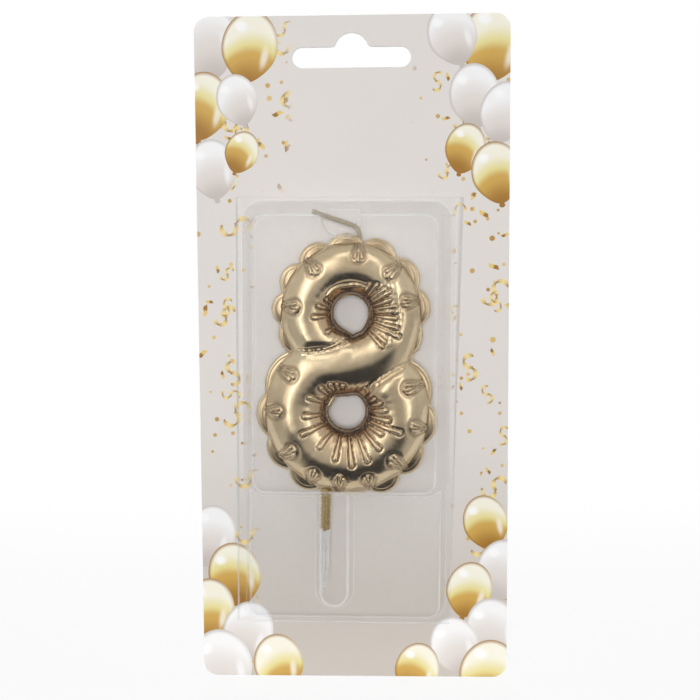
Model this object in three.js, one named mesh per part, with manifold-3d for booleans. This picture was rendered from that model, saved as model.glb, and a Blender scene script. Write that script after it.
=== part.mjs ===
// Balloon number candle in its hanging pack: a printed card, a clear formed blister, and
// the gold "8" candle with its wick and its pick.
//
// Millimetres, +X right, +Z up, the front faces -Y. The card's front face is the plane y = 0,
// and the origin is the top of the hang slot's arch, where a display peg bears.
import * as THREE from 'three';
import { mergeVertices } from 'three/addons/utils/BufferGeometryUtils.js';
import Module from 'manifold-3d';

const wasm = await Module();
wasm.setup();

// Clearances
const looseGap = 0.3; // between pieces that touch on the real pack
const cutOver = 1; // how far a cutting body runs past what it cuts
const finestDetail = 0.02; // slivers that the joins leave are below this

// Candle, an inflated tube bent into an 8, in its own frame: the lower hole's centre is its
// origin, and the tube's middle plane is y = 0
const lowerRadius = 13.7; // centreline of the lower loop
const upperRadius = 11.9;
const loopSpacing = 26.3;
const upperShift = 0.35;
const lowerHalfWidth = 8.4;
const upperHalfWidth = 6.9;
const strokeHalfWidth = 8.3; // at the stroke's widest, after it leaves the upper loop
const strokeWaistHalfWidth = 7.6;
const lowerHalfDepth = 6.6;
const upperHalfDepth = 6;
const candleOffsetX = 0.5; // the lower hole's centre, from the blister's middle line
const candleLean = 1.8; // degrees, it leans in its pocket
const rimReach = 0.5; // the moulded seam's rim beyond the tube
const rimHalfThickness = 0.5;
const scallopReach = 2.4;
const waistScallopReach = 1.7;
const scallopHalfThickness = 1.5;
const upperScallopSpan = [217, -40]; // degrees round the upper loop, from waist to waist
const leftScallopSpan = [136, 252]; // round the lower loop, from the waist to the flat foot
const rightScallopSpan = [288, 398]; // from the foot to the waist
const pleatWidth = 1.7;
const pleatRise = 0.45;
const pleatTaper = 0.55; // a pleat's width at the hole, as a share of its width at its outer end
const pleatInset = 0.8; // from the hole's edge to where a pleat starts
const lowerPleats = 13;
const lowerPleatSpan = [118, 383];
const upperRightPleats = 8;
const upperRightPleatSpan = [48, -44];
const upperLeftPleats = 3;
const upperLeftPleatSpan = [168, 218];
const puckerWidth = 2.2;
const puckerLength = 3.3;
const puckerInset = 0.7; // from the tube's outer edge to where a pucker starts

// Wick and pick
const wickDiameter = 1.3;
const wickBoreDepth = 6;
const wickPlace = 2.15; // across the candle's top, from the lower hole's centre
const wickUpright = 1; // from the rim to where it bends over
const wickBendRadius = 3.3;
const wickLie = 9.6; // how far it lies to the left beyond the bend
const wickLieRise = 3.2;
const wickLieBack = 3.8; // the notch keeps it back, towards the card
const pickDiameter = 2.8;
const pickFin = 0.9;
const pickLength = 34.5;
const pickSocketDepth = 8;
const pickPlace = -5.2; // across the candle's foot
const pickPoint = 5;
const pickPointScale = 0.25; // the point's tip, as a share of the cross

// The candle's outside, which the pack is sized from
const upperOuter = upperRadius + upperHalfWidth;
const lowerOuter = lowerRadius + lowerHalfWidth;
const candleWidth = 2 * (lowerOuter + scallopReach);
const candleHeight = lowerOuter + rimReach + loopSpacing + upperOuter + scallopReach;
const candleDepth = 2 * (lowerHalfDepth + pleatRise);

// Backing card
const cardWidth = 85;
const cardHeight = 182;
const cardThickness = 0.5;
const cardCornerRadius = 4;
const cardBelowTray = 17.1; // from the tray's lower edge to the card's
const slotBelowTop = 4.6; // arch top to the card's top edge
const slotWidth = 32;
const slotHeight = 5.5;
const slotArchRise = 3.75;
const slotArchRadius = 4.6;
const slotArchFillet = 1.2;

// Blister, a vacuum-formed clear sheet sealed to the card a little askew
const blisterWall = 0.4;
const blisterOffsetX = -2;
const blisterLean = 0.5; // degrees, its top towards +X
const wallDraft = 15.5; // degrees, the same on every formed wall
const pocketSideRoom = 4;
const pocketTopRoom = 11.7; // the wick bends over in the room above the candle
const pocketFaceRoom = 1.5;
const pocketCornerRadius = 5.5;
const faceEdgeRadius = 1.6;
const trayEndRoom = 7.3; // below the pick's point
const trayDepth = 6.5;
const trayNarrowing = 0.6;
const trayCornerRadius = 4.5;
const channelSideRoom = 3.9;
const channelFaceRoom = 1.95;
const channelOffsetX = -2.8;
const channelEndMargin = 3;
const channelEdgeRadius = 2.4;
const flangeSide = 1.8;
const flangeTop = 1;
const flangeBottom = 1.6;
const flangeFlare = 2.6; // how much further the right edge stands out at the top
const notchOffsetX = -0.8;
const notchWidth = 9.7;
const notchHeight = 5.4;
const notchDepth = 5.5;

// The pockets take their sizes from what they hold, and the blister its place from the card
const pocketWidth = candleWidth + 2 * pocketSideRoom;
const pocketHeight = candleHeight + pocketTopRoom;
const pocketDepth = candleDepth + blisterWall + pocketFaceRoom;
const trayHeight = pickLength - pickSocketDepth + trayEndRoom;
const channelWidth = pickDiameter + 2 * channelSideRoom;
const channelDepth = (candleDepth + pickDiameter) / 2 + blisterWall + channelFaceRoom;
const pocketBelowSlot = cardHeight - slotBelowTop - cardBelowTray - pocketHeight - trayHeight;

const rad = THREE.MathUtils.degToRad;
const mix = THREE.MathUtils.lerp;
const draftRatio = Math.tan(rad(wallDraft));

// Merges the corners that a geometry repeats, and drops the empty faces at a lathe's poles
function weld(geometry) {
  const bare = geometry.clone();
  bare.deleteAttribute('normal');
  bare.deleteAttribute('uv');
  const merged = mergeVertices(bare, 1e-4);
  const corners = merged.index.array;
  const faces = [];
  for (let f = 0; f < corners.length; f += 3) {
    const [a, b, c] = corners.slice(f, f + 3);
    if (a !== b && b !== c && c !== a) faces.push(a, b, c);
  }
  return merged.setIndex(faces);
}

// A closed geometry becomes a body that can be joined and cut, and back
function toBody(geometry) {
  const closed = weld(geometry);
  return new wasm.Manifold(new wasm.Mesh({
    numProp: 3,
    vertProperties: new Float32Array(closed.attributes.position.array),
    triVerts: new Uint32Array(closed.index.array),
  }));
}

function toGeometry(body) {
  const mesh = body.simplify(finestDetail).getMesh();
  const geometry = new THREE.BufferGeometry();
  geometry.setAttribute('position', new THREE.BufferAttribute(mesh.vertProperties, 3));
  geometry.setIndex(new THREE.BufferAttribute(mesh.triVerts, 1));
  return geometry;
}

// Joins a stack of equal rings of points into one closed geometry with its faces outward
function loft(rings) {
  const around = rings[0].length;
  const positions = rings.flat().flatMap((point) => point.toArray());
  const faces = [];
  for (let r = 0; r + 1 < rings.length; r += 1) {
    for (let i = 0; i < around; i += 1) {
      const j = (i + 1) % around;
      const a = r * around;
      const b = a + around;
      faces.push(a + i, a + j, b + j, a + i, b + j, b + i);
    }
  }
  for (const end of [0, rings.length - 1]) {
    const middle = new THREE.Vector3();
    rings[end].forEach((point) => middle.addScaledVector(point, 1 / around));
    const hub = positions.length / 3;
    positions.push(...middle.toArray());
    for (let i = 0; i < around; i += 1) {
      const p = end * around + i;
      const q = end * around + ((i + 1) % around);
      faces.push(hub, ...(end === 0 ? [q, p] : [p, q]));
    }
  }
  let volume = 0;
  const corner = (index) => new THREE.Vector3().fromArray(positions, index * 3);
  for (let f = 0; f < faces.length; f += 3) {
    volume += corner(faces[f]).dot(corner(faces[f + 1]).cross(corner(faces[f + 2])));
  }
  const geometry = new THREE.BufferGeometry();
  geometry.setAttribute('position', new THREE.Float32BufferAttribute(positions, 3));
  geometry.setIndex(volume > 0 ? faces : faces.reverse());
  return geometry;
}

// Extrudes a shape drawn in x and z towards +Y, from y = start
function extrudeBack(shape, start, depth, curveSegments = 6) {
  const geometry = new THREE.ExtrudeGeometry(shape, { depth, bevelEnabled: false, curveSegments });
  geometry.rotateX(Math.PI / 2); // the shape's y becomes z, and its depth runs towards -Y
  geometry.translate(0, start + depth, 0);
  return geometry;
}

function roundedRectangle(left, bottom, width, height, radius) {
  const right = left + width;
  const top = bottom + height;
  const shape = new THREE.Shape();
  shape.moveTo(left + radius, bottom);
  shape.lineTo(right - radius, bottom);
  shape.absarc(right - radius, bottom + radius, radius, -Math.PI / 2, 0);
  shape.lineTo(right, top - radius);
  shape.absarc(right - radius, top - radius, radius, 0, Math.PI / 2);
  shape.lineTo(left + radius, top);
  shape.absarc(left + radius, top - radius, radius, Math.PI / 2, Math.PI);
  shape.lineTo(left, bottom + radius);
  shape.absarc(left + radius, bottom + radius, radius, Math.PI, Math.PI * 1.5);
  return shape;
}

// Backing card: a rounded sheet with a hang slot, a long hole with an arch in its middle
function slotShape() {
  const barTop = -slotArchRise;
  const barBottom = barTop - slotHeight;
  const endRadius = slotHeight / 2;
  const barEnd = slotWidth / 2 - endRadius;
  const archCentre = -slotArchRadius;
  // the fillet touches the arch from outside and the bar's top edge
  const filletCentre = barTop + slotArchFillet;
  const reach = slotArchRadius + slotArchFillet;
  const lift = filletCentre - archCentre;
  const filletX = Math.sqrt(reach * reach - lift * lift);
  const meet = Math.atan2(lift, filletX);
  const shape = new THREE.Shape();
  shape.moveTo(-barEnd, barBottom);
  shape.lineTo(barEnd, barBottom);
  shape.absarc(barEnd, barBottom + endRadius, endRadius, -Math.PI / 2, Math.PI / 2);
  shape.lineTo(filletX, barTop);
  shape.absarc(filletX, filletCentre, slotArchFillet, -Math.PI / 2, -Math.PI + meet, true);
  shape.absarc(0, archCentre, slotArchRadius, meet, Math.PI - meet);
  shape.absarc(-filletX, filletCentre, slotArchFillet, -meet, -Math.PI / 2, true);
  shape.lineTo(-barEnd, barTop);
  shape.absarc(-barEnd, barBottom + endRadius, endRadius, Math.PI / 2, Math.PI * 1.5);
  return shape;
}

function cardGeometry() {
  const bottom = slotBelowTop - cardHeight;
  const sheet = roundedRectangle(-cardWidth / 2, bottom, cardWidth, cardHeight, cardCornerRadius);
  const slot = extrudeBack(slotShape(), -cutOver, cardThickness + 2 * cutOver);
  return toGeometry(toBody(extrudeBack(sheet, 0, cardThickness)).subtract(toBody(slot)));
}

// A ring of points round a rounded rectangle that faces -Y at a given depth
const cornerSteps = 5;
const roundestCorner = 0.48; // of the ring's shorter side
function roundedRing({ left, right, bottom, top }, cornerRadius, depth) {
  const radius = Math.min(cornerRadius, roundestCorner * Math.min(right - left, top - bottom));
  const corners = [
    [right - radius, top - radius, 0],
    [left + radius, top - radius, 90],
    [left + radius, bottom + radius, 180],
    [right - radius, bottom + radius, 270],
  ];
  return corners.flatMap(([x, z, start]) => Array.from({ length: cornerSteps }, (_, step) => {
    const angle = rad(start + (90 * step) / (cornerSteps - 1));
    return new THREE.Vector3(x + radius * Math.cos(angle), -depth, z + radius * Math.sin(angle));
  }));
}

// A formed bay of the blister: a rounded rectangle on the card that draws in by the draft,
// with a rounded edge round its face. inset is 0 for the outside and the wall for the inside.
const bayEdgeSteps = 3;
const cornerTaper = 0.4; // how much of the draft a bay's upright corners lose in radius
const sharpestCorner = 0.6; // of the face's edge radius
function bay({ left, right, bottom, top, depth, cornerRadius, edgeRadius }, inset) {
  const edge = edgeRadius - inset;
  const open = inset > 0 ? cutOver : 0; // the inside runs out through the card side
  const wallShift = (level) => inset / Math.cos(rad(wallDraft)) + level * draftRatio;
  const levels = [[-open, wallShift(-open)]];
  const faceLevel = depth - inset;
  const edgeStart = faceLevel - edge * (1 - Math.sin(rad(wallDraft)));
  for (let step = 0; step <= bayEdgeSteps; step += 1) {
    const turn = mix(rad(wallDraft), Math.PI / 2, step / bayEdgeSteps);
    const drawnIn = edge * (Math.cos(rad(wallDraft)) - Math.cos(turn));
    levels.push([faceLevel - edge * (1 - Math.sin(turn)), wallShift(edgeStart) + drawnIn]);
  }
  return toBody(loft(levels.map(([level, shift]) => roundedRing({
    left: left + shift, right: right - shift, bottom: bottom + shift, top: top - shift,
  }, Math.max(cornerRadius - shift * cornerTaper, edge * sharpestCorner), level))));
}

// The blister's places in its own frame: x from its middle, z from the pocket's top edge
const pocketBottom = -pocketHeight;
const trayBottom = pocketBottom - trayHeight;
const pocket = {
  left: -pocketWidth / 2,
  right: pocketWidth / 2,
  bottom: pocketBottom,
  top: 0,
  depth: pocketDepth,
  cornerRadius: pocketCornerRadius,
  edgeRadius: faceEdgeRadius,
};
const tray = {
  left: -pocketWidth / 2 + trayNarrowing,
  right: pocketWidth / 2 - trayNarrowing,
  bottom: trayBottom,
  top: pocketBottom + 2 * trayCornerRadius,
  depth: trayDepth,
  cornerRadius: trayCornerRadius,
  edgeRadius: faceEdgeRadius,
};
const channelHalf = channelWidth / 2 + trayDepth * draftRatio;
const channel = {
  left: channelOffsetX - channelHalf,
  right: channelOffsetX + channelHalf,
  bottom: trayBottom + channelEndMargin,
  top: pocketBottom + 3 * trayCornerRadius,
  depth: channelDepth,
  cornerRadius: channelHalf,
  edgeRadius: channelEdgeRadius,
};

// The notch in the face's top edge, which keeps the wick back; grow is the wall on its inside
function notch(grow) {
  const faceTop = -pocketDepth * draftRatio;
  const half = notchWidth / 2 + grow;
  const floor = pocketDepth - notchDepth - grow;
  const narrowing = notchDepth * draftRatio;
  const ring = (depth, shift) => roundedRing({
    left: notchOffsetX - half + shift,
    right: notchOffsetX + half - shift,
    bottom: faceTop - notchHeight - grow + shift,
    top: faceTop + pocketDepth,
  }, notchWidth / 3, depth);
  return toBody(loft([ring(floor, narrowing), ring(pocketDepth + cutOver, -cutOver * draftRatio)]));
}

function flange() {
  const left = -pocketWidth / 2 - flangeSide;
  const right = pocketWidth / 2 + flangeSide;
  const bottom = trayBottom - flangeBottom;
  const shape = new THREE.Shape([
    new THREE.Vector2(left, bottom),
    new THREE.Vector2(right - flangeFlare / 2, bottom),
    new THREE.Vector2(right + flangeFlare / 2, flangeTop),
    new THREE.Vector2(left, flangeTop),
  ]);
  return toBody(extrudeBack(shape, -blisterWall, blisterWall));
}

function blisterGeometry() {
  const outside = bay(pocket, 0).add(bay(tray, 0)).add(bay(channel, 0)).subtract(notch(0));
  const bays = bay(pocket, blisterWall).add(bay(tray, blisterWall)).add(bay(channel, blisterWall));
  return toGeometry(outside.add(flange()).subtract(bays.subtract(notch(blisterWall))));
}

// The candle's tube. A station is a place on its centreline with the tube's half sizes there.
const upperCentre = new THREE.Vector2(upperShift, loopSpacing);
const lowerCentre = new THREE.Vector2(0, 0);
const upperStart = 238; // degrees round the upper loop, under the stroke's upper side
const upperLeave = -5; // where the stroke leaves the upper loop
const lowerJoin = 135; // where it joins the lower loop
const lowerEnd = 392; // under the stroke's lower side
const strokePull = [16, 5]; // how strongly the stroke keeps each loop's direction

function onLoop(centre, radius, angle) {
  return new THREE.Vector2(
    centre.x + radius * Math.cos(rad(angle)), centre.y + radius * Math.sin(rad(angle)),
  );
}

function loopStations(centre, radius, from, to, count, size) {
  const turn = Math.sign(to - from);
  return Array.from({ length: count + 1 }, (_, i) => {
    const angle = from + ((to - from) * i) / count;
    const tangent = new THREE.Vector2(-Math.sin(rad(angle)), Math.cos(rad(angle)));
    return {
      place: onLoop(centre, radius, angle), tangent: tangent.multiplyScalar(turn), ...size(i / count),
    };
  });
}

const ease = (t) => t * t * (3 - 2 * t);
const upperSize = () => ({ width: upperHalfWidth, depth: upperHalfDepth });
const strokeWidest = 0.38;
const strokeWaist = 0.75;
function strokeSize(t) {
  const between = (from, to, start, end) => mix(from, to, ease((t - start) / (end - start)));
  let width = between(strokeWaistHalfWidth, lowerHalfWidth, strokeWaist, 1);
  if (t < strokeWidest) width = between(upperHalfWidth, strokeHalfWidth, 0, strokeWidest);
  else if (t < strokeWaist) {
    width = between(strokeHalfWidth, strokeWaistHalfWidth, strokeWidest, strokeWaist);
  }
  return { width, depth: mix(upperHalfDepth, lowerHalfDepth, ease(t)) };
}
const lowerSize = () => ({ width: lowerHalfWidth, depth: lowerHalfDepth });

const upperStations = loopStations(upperCentre, upperRadius, upperStart, upperLeave, 20, upperSize);
const lowerStations = loopStations(lowerCentre, lowerRadius, lowerJoin, lowerEnd, 20, lowerSize);

function strokeStations(count) {
  const first = upperStations[upperStations.length - 1];
  const last = lowerStations[0];
  const curve = new THREE.CubicBezierCurve(
    first.place,
    first.place.clone().addScaledVector(first.tangent, strokePull[0]),
    last.place.clone().addScaledVector(last.tangent, -strokePull[1]),
    last.place,
  );
  const between = Array.from({ length: count - 1 }, (_, i) => {
    const t = (i + 1) / count;
    return { place: curve.getPoint(t), tangent: curve.getTangent(t), ...strokeSize(t) };
  });
  return [first, ...between, last];
}

// A tube end is pinched flat: its sections lose their depth along a quarter ellipse
const endLength = 4.5;
const endSteps = 4;
const endNarrowing = 0.12;
const endTurn = 82; // degrees of the quarter ellipse, which stop short of a sharp edge
function endStations(station, direction) {
  return Array.from({ length: endSteps }, (_, i) => {
    const turn = ((i + 1) / endSteps) * rad(endTurn);
    return {
      place: station.place.clone().addScaledVector(station.tangent, direction * endLength * Math.sin(turn)),
      tangent: station.tangent,
      width: station.width * (1 - endNarrowing * Math.sin(turn)),
      depth: station.depth * Math.cos(turn),
    };
  });
}

const tubeSides = 16;
function tubeSection({ width, depth }) {
  return Array.from({ length: tubeSides }, (_, i) => {
    const angle = ((i + 0.5) / tubeSides) * Math.PI * 2;
    return [width * Math.cos(angle), depth * Math.sin(angle)];
  });
}

// The rim is a flat bar on the middle plane with its long edges rounded off
function rimSection({ width }) {
  const reach = width + rimReach;
  const shoulder = reach - rimHalfThickness / 2;
  const half = rimHalfThickness;
  const oneSide = [[reach, half / 2], [shoulder, half], [-shoulder, half], [-reach, half / 2]];
  return [...oneSide, ...oneSide.map(([across, out]) => [across, -out]).reverse()];
}

// Carries a section along the centreline
function tubeBody(stations, section) {
  return toBody(loft(stations.map((station) => {
    const { place, tangent } = station;
    return section(station).map(([across, out]) => (
      new THREE.Vector3(place.x - tangent.y * across, out, place.y + tangent.x * across)
    ));
  })));
}

// Scallops round a loop's outside: flat pillows on the seam, one beside the other. Their
// pitch drifts a little, and those next to the waist stand out less.
function scallopRow(count, [from, to], drift, nextToWaist) {
  const cusps = Array.from({ length: count + 1 }, (_, i) => (
    mix(from, to, i / count) + drift * Math.sin((Math.PI * i) / count)
  ));
  return Array.from({ length: count }, (_, i) => ({
    angle: (cusps[i] + cusps[i + 1]) / 2,
    pitch: Math.abs(cusps[i + 1] - cusps[i]),
    reach: nextToWaist.includes(i) ? waistScallopReach : scallopReach,
  }));
}
const upperScallops = scallopRow(9, upperScallopSpan, 7.5, [0, 8]);
const lowerScallops = [ // the candle's flat foot is between the two rows
  ...scallopRow(4, leftScallopSpan, 6, [0]),
  ...scallopRow(4, rightScallopSpan, -6, [3]),
];

function scallopDisc(centre, loopOuter, { angle, pitch, reach }) {
  const cusp = loopOuter + rimReach * 0.5;
  const chord = cusp * Math.sin(rad(pitch / 2));
  const rise = loopOuter + reach - cusp * Math.cos(rad(pitch / 2));
  const radius = (chord * chord + rise * rise) / (2 * rise);
  return { radius, place: onLoop(centre, loopOuter + reach - radius, angle) };
}

// A pillow's half thickness from its middle to its edge, both as shares of the full size
const pillowProfile = [[0, 1], [0.6, 0.85], [0.88, 0.5], [1, 0.22]];

function scallopBody(centre, loopOuter, scallop) {
  const { radius, place } = scallopDisc(centre, loopOuter, scallop);
  const front = pillowProfile.map(([r, h]) => new THREE.Vector2(r * radius, -h * scallopHalfThickness));
  const back = front.map((point) => new THREE.Vector2(point.x, -point.y)).reverse();
  const pillow = weld(new THREE.LatheGeometry([...front, ...back], 18));
  pillow.translate(place.x, 0, place.y);
  return toBody(pillow);
}

// Height of a loop's tube above the middle plane, at a distance from the loop's centre
function tubeHeight(loop, distance) {
  const across = Math.min(1, Math.abs(distance - loop.radius) / loop.width);
  return loop.depth * Math.sqrt(1 - across * across);
}

// A pleat is a round-ended ridge that runs out from a hole, or in from the rim, on one face
const pleatSteps = 4;
const pleatRoot = -0.6; // how deep its underside sits in the tube
const pleatFlat = 0.7; // its flat top, as a share of its width
const pleatEnd = 0.25; // its ends, as a share of its full size

function pleatBody(loop, angle, inner, outer, width, side) {
  const rings = [];
  for (let step = 0; step <= pleatSteps; step += 1) {
    const t = step / pleatSteps;
    const swell = Math.max(pleatEnd, Math.sqrt(1 - (2 * t - 1) ** 4));
    const distance = mix(inner, outer, t);
    const height = tubeHeight(loop, distance);
    const place = onLoop(loop.centre, distance, angle);
    const half = (width / 2) * mix(pleatTaper, 1, t) * swell;
    const top = pleatRise * swell;
    const flat = half * pleatFlat;
    const section = [[-half, pleatRoot], [-flat, top], [flat, top], [half, pleatRoot]];
    rings.push(section.map(([across, lift]) => new THREE.Vector3(
      place.x - Math.sin(rad(angle)) * across,
      side * (height + lift),
      place.y + Math.cos(rad(angle)) * across,
    )));
  }
  return toBody(loft(rings));
}

const lowerLoop = {
  centre: lowerCentre, radius: lowerRadius, width: lowerHalfWidth, depth: lowerHalfDepth,
};
const upperLoop = {
  centre: upperCentre, radius: upperRadius, width: upperHalfWidth, depth: upperHalfDepth,
};

function pleatRow(loop, count, [from, to], reach) {
  const hole = loop.radius - loop.width;
  return Array.from({ length: count }, (_, i) => {
    const t = i / (count - 1);
    const ends = { inner: hole + pleatInset, outer: hole + reach(t) };
    return { loop, angle: mix(from, to, t), ...ends, width: pleatWidth };
  });
}

function puckerRow(loop, angles) {
  const outer = loop.radius + loop.width - puckerInset;
  return angles.map((angle) => (
    { loop, angle, inner: outer - puckerLength, outer, width: puckerWidth }
  ));
}

const candlePleats = [
  ...pleatRow(lowerLoop, lowerPleats, lowerPleatSpan, (t) => 4 + 5 * Math.sin(Math.PI * t)),
  ...pleatRow(upperLoop, upperRightPleats, upperRightPleatSpan, (t) => 5 + 3 * t),
  ...pleatRow(upperLoop, upperLeftPleats, upperLeftPleatSpan, (t) => 4.4 - 1.4 * t),
  ...puckerRow(upperLoop, [176, 131, 85, 47]),
  ...puckerRow(lowerLoop, [148, 181, 215, 290, 382]),
];

// Wick and pick in the candle's frame
const wickExit = loopSpacing + upperOuter + rimReach;
const footLevel = -(lowerOuter + rimReach);

// The wick leaves the candle upright, bends over to the left and lies along behind the notch
function wickCurve() {
  const bend = [0, 45, 90].map((angle) => [
    -wickBendRadius * (1 - Math.cos(rad(angle))),
    wickUpright + wickBendRadius * Math.sin(rad(angle)),
  ]);
  const [bendX, bendZ] = bend[bend.length - 1];
  const places = [
    [0, -wickBoreDepth],
    [0, -wickBoreDepth / 2],
    ...bend,
    [bendX - wickLie / 2, bendZ + wickLieRise / 2, wickLieBack / 2],
    [bendX - wickLie, bendZ + wickLieRise, wickLieBack],
  ];
  return new THREE.CatmullRomCurve3(places.map(([x, z, back = 0]) => (
    new THREE.Vector3(wickPlace + x, back, wickExit + z)
  )), false, 'centripetal');
}

function wickGeometry() {
  const shape = new THREE.Shape();
  shape.absarc(0, 0, wickDiameter / 2, 0, Math.PI * 2);
  return new THREE.ExtrudeGeometry(shape, {
    extrudePath: wickCurve(), steps: 16, bevelEnabled: false, curveSegments: 4,
  });
}

function wickBore() {
  const length = wickBoreDepth + looseGap + scallopReach + cutOver;
  const bore = new THREE.CylinderGeometry(
    wickDiameter / 2 + looseGap, wickDiameter / 2 + looseGap, length, 12,
  );
  bore.rotateX(Math.PI / 2);
  bore.translate(wickPlace, 0, wickExit - wickBoreDepth - looseGap + length / 2);
  return toBody(bore);
}

// The pick's cross of two fins; grow widens it into the socket that it sits in
function crossShape(grow) {
  const reach = pickDiameter / 2 + grow;
  const half = pickFin / 2 + grow;
  const quarter = [[reach, -half], [reach, half], [half, half]];
  const points = [];
  for (let turn = 0; turn < 4; turn += 1) {
    for (const [x, y] of quarter) {
      points.push(new THREE.Vector2(x, y).rotateAround(new THREE.Vector2(), (turn * Math.PI) / 2));
    }
  }
  return points;
}

function pickBody() {
  const cross = crossShape(0);
  const top = footLevel + pickSocketDepth;
  const bottom = top - pickLength;
  const ring = (level, scale) => cross.map((point) => new THREE.Vector3(
    pickPlace + point.x * scale, point.y * scale, level,
  ));
  return toBody(loft([ring(top, 1), ring(bottom + pickPoint, 1), ring(bottom, pickPointScale)]));
}

function pickSocket() {
  const cross = crossShape(looseGap);
  const ring = (level) => cross.map((point) => new THREE.Vector3(pickPlace + point.x, point.y, level));
  return toBody(loft([ring(footLevel + pickSocketDepth + looseGap), ring(footLevel - cutOver)]));
}

function candleGeometry() {
  const ends = {
    first: endStations(upperStations[0], -1).reverse(),
    last: endStations(lowerStations[lowerStations.length - 1], 1),
  };
  const runs = [
    [...ends.first, ...upperStations],
    strokeStations(10),
    [...lowerStations, ...ends.last],
  ];
  let body = null;
  const addTo = (piece) => {
    body = body ? body.add(piece) : piece;
  };
  for (const section of [tubeSection, rimSection]) {
    runs.forEach((run) => addTo(tubeBody(run, section)));
  }
  upperScallops.forEach((scallop) => addTo(scallopBody(upperCentre, upperOuter, scallop)));
  lowerScallops.forEach((scallop) => addTo(scallopBody(lowerCentre, lowerOuter, scallop)));
  for (const { loop, angle, inner, outer, width } of candlePleats) {
    for (const side of [-1, 1]) {
      addTo(pleatBody(loop, angle, inner, outer, width, side));
    }
  }
  return toGeometry(body.subtract(wickBore()).subtract(pickSocket()));
}

// Materials
const printedCard = new THREE.MeshStandardMaterial({ color: 0xd7d2cc, roughness: 0.45, metalness: 0 });
const clearSheet = new THREE.MeshStandardMaterial({
  color: 0xf2f4f5, roughness: 0.08, metalness: 0, transparent: true, opacity: 0.25,
});
const goldCoat = new THREE.MeshStandardMaterial({ color: 0xc9b27c, roughness: 0.28, metalness: 1 });
const wickThread = new THREE.MeshStandardMaterial({ color: 0xa79f90, roughness: 0.9, metalness: 0 });
const pickPlastic = new THREE.MeshStandardMaterial({ color: 0xdcd9d3, roughness: 0.3, metalness: 0 });

function piece(name, geometry, material) {
  const mesh = new THREE.Mesh(geometry, material);
  mesh.name = name;
  return mesh;
}

// Assembly: the candle stands on the pocket's lower wall, just clear of the card and the wall
const blisterMiddle = (pocketHeight + trayHeight) / 2;
const blister = piece('blister', blisterGeometry(), clearSheet);
const turned = new THREE.Group();
turned.add(blister);
turned.rotation.y = rad(blisterLean);
turned.position.set(
  blisterOffsetX + blisterMiddle * Math.sin(rad(blisterLean)), 0, -pocketBelowSlot,
);

// The leaning candle's lowest point is on its foot or on a scallop beside it
function lowestPoint() {
  const lean = rad(candleLean);
  const discs = lowerScallops.map((scallop) => scallopDisc(lowerCentre, lowerOuter, scallop));
  const levels = discs.map(({ radius, place }) => (
    place.y * Math.cos(lean) - place.x * Math.sin(lean) - radius
  ));
  return Math.min(footLevel, ...levels);
}

const candle = new THREE.Group();
candle.add(piece('candle_body', candleGeometry(), goldCoat));
candle.add(piece('wick', wickGeometry(), wickThread));
candle.add(piece('pick', toGeometry(pickBody()), pickPlastic));
candle.rotation.y = rad(candleLean);
const candleMiddle = candleDepth / 2 + looseGap; // in front of the card
const wallAtMiddle = pocketBottom + (candleMiddle - rimHalfThickness) * draftRatio
  + blisterWall / Math.cos(rad(wallDraft));
const wallTilt = (pocketWidth / 4) * Math.sin(rad(blisterLean));
candle.position.set(
  candleOffsetX + blisterOffsetX, -candleMiddle,
  wallAtMiddle - pocketBelowSlot + wallTilt + looseGap - lowestPoint(),
);

const model = new THREE.Group();
model.add(piece('backing_card', cardGeometry(), printedCard));
model.add(turned);
model.add(candle);

export default model;
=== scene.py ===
import math

import bpy
import numpy as np
from mathutils import Matrix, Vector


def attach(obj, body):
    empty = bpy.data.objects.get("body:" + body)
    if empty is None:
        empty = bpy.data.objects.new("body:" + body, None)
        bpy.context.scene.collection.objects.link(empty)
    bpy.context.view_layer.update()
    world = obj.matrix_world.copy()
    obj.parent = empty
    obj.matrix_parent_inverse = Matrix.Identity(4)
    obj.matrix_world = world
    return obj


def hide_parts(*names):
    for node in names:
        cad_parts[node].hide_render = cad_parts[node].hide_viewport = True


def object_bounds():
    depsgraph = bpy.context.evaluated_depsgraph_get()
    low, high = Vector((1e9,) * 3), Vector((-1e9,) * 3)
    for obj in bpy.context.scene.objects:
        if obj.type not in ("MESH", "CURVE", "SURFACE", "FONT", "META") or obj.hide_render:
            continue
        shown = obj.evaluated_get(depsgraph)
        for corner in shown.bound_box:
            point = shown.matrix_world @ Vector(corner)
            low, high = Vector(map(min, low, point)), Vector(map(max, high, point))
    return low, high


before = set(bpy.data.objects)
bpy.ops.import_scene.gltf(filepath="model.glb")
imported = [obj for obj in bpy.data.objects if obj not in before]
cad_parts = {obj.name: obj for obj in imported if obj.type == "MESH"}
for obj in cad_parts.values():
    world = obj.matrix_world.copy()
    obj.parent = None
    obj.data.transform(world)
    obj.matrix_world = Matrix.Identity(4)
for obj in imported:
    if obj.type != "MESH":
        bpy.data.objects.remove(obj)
cad_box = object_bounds()

MM = 0.001
X, Y, Z = range(3)


# ---------------------------------------------------------------------------
# Small helpers: node trees, meshes, placing
# ---------------------------------------------------------------------------

def mix(a, b, t):
    return a + (b - a) * t


def smooth(t):
    t = np.clip(t, 0, 1)
    return t * t * (3 - 2 * t)


def colour(red, green, blue):
    """Linear colour from the 0 to 255 values of a paint chart."""
    return tuple(((c / 255) / 12.92 if c < 11 else ((c / 255 + 0.055) / 1.055) ** 2.4)
                 for c in (red, green, blue)) + (1.0,)


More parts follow.
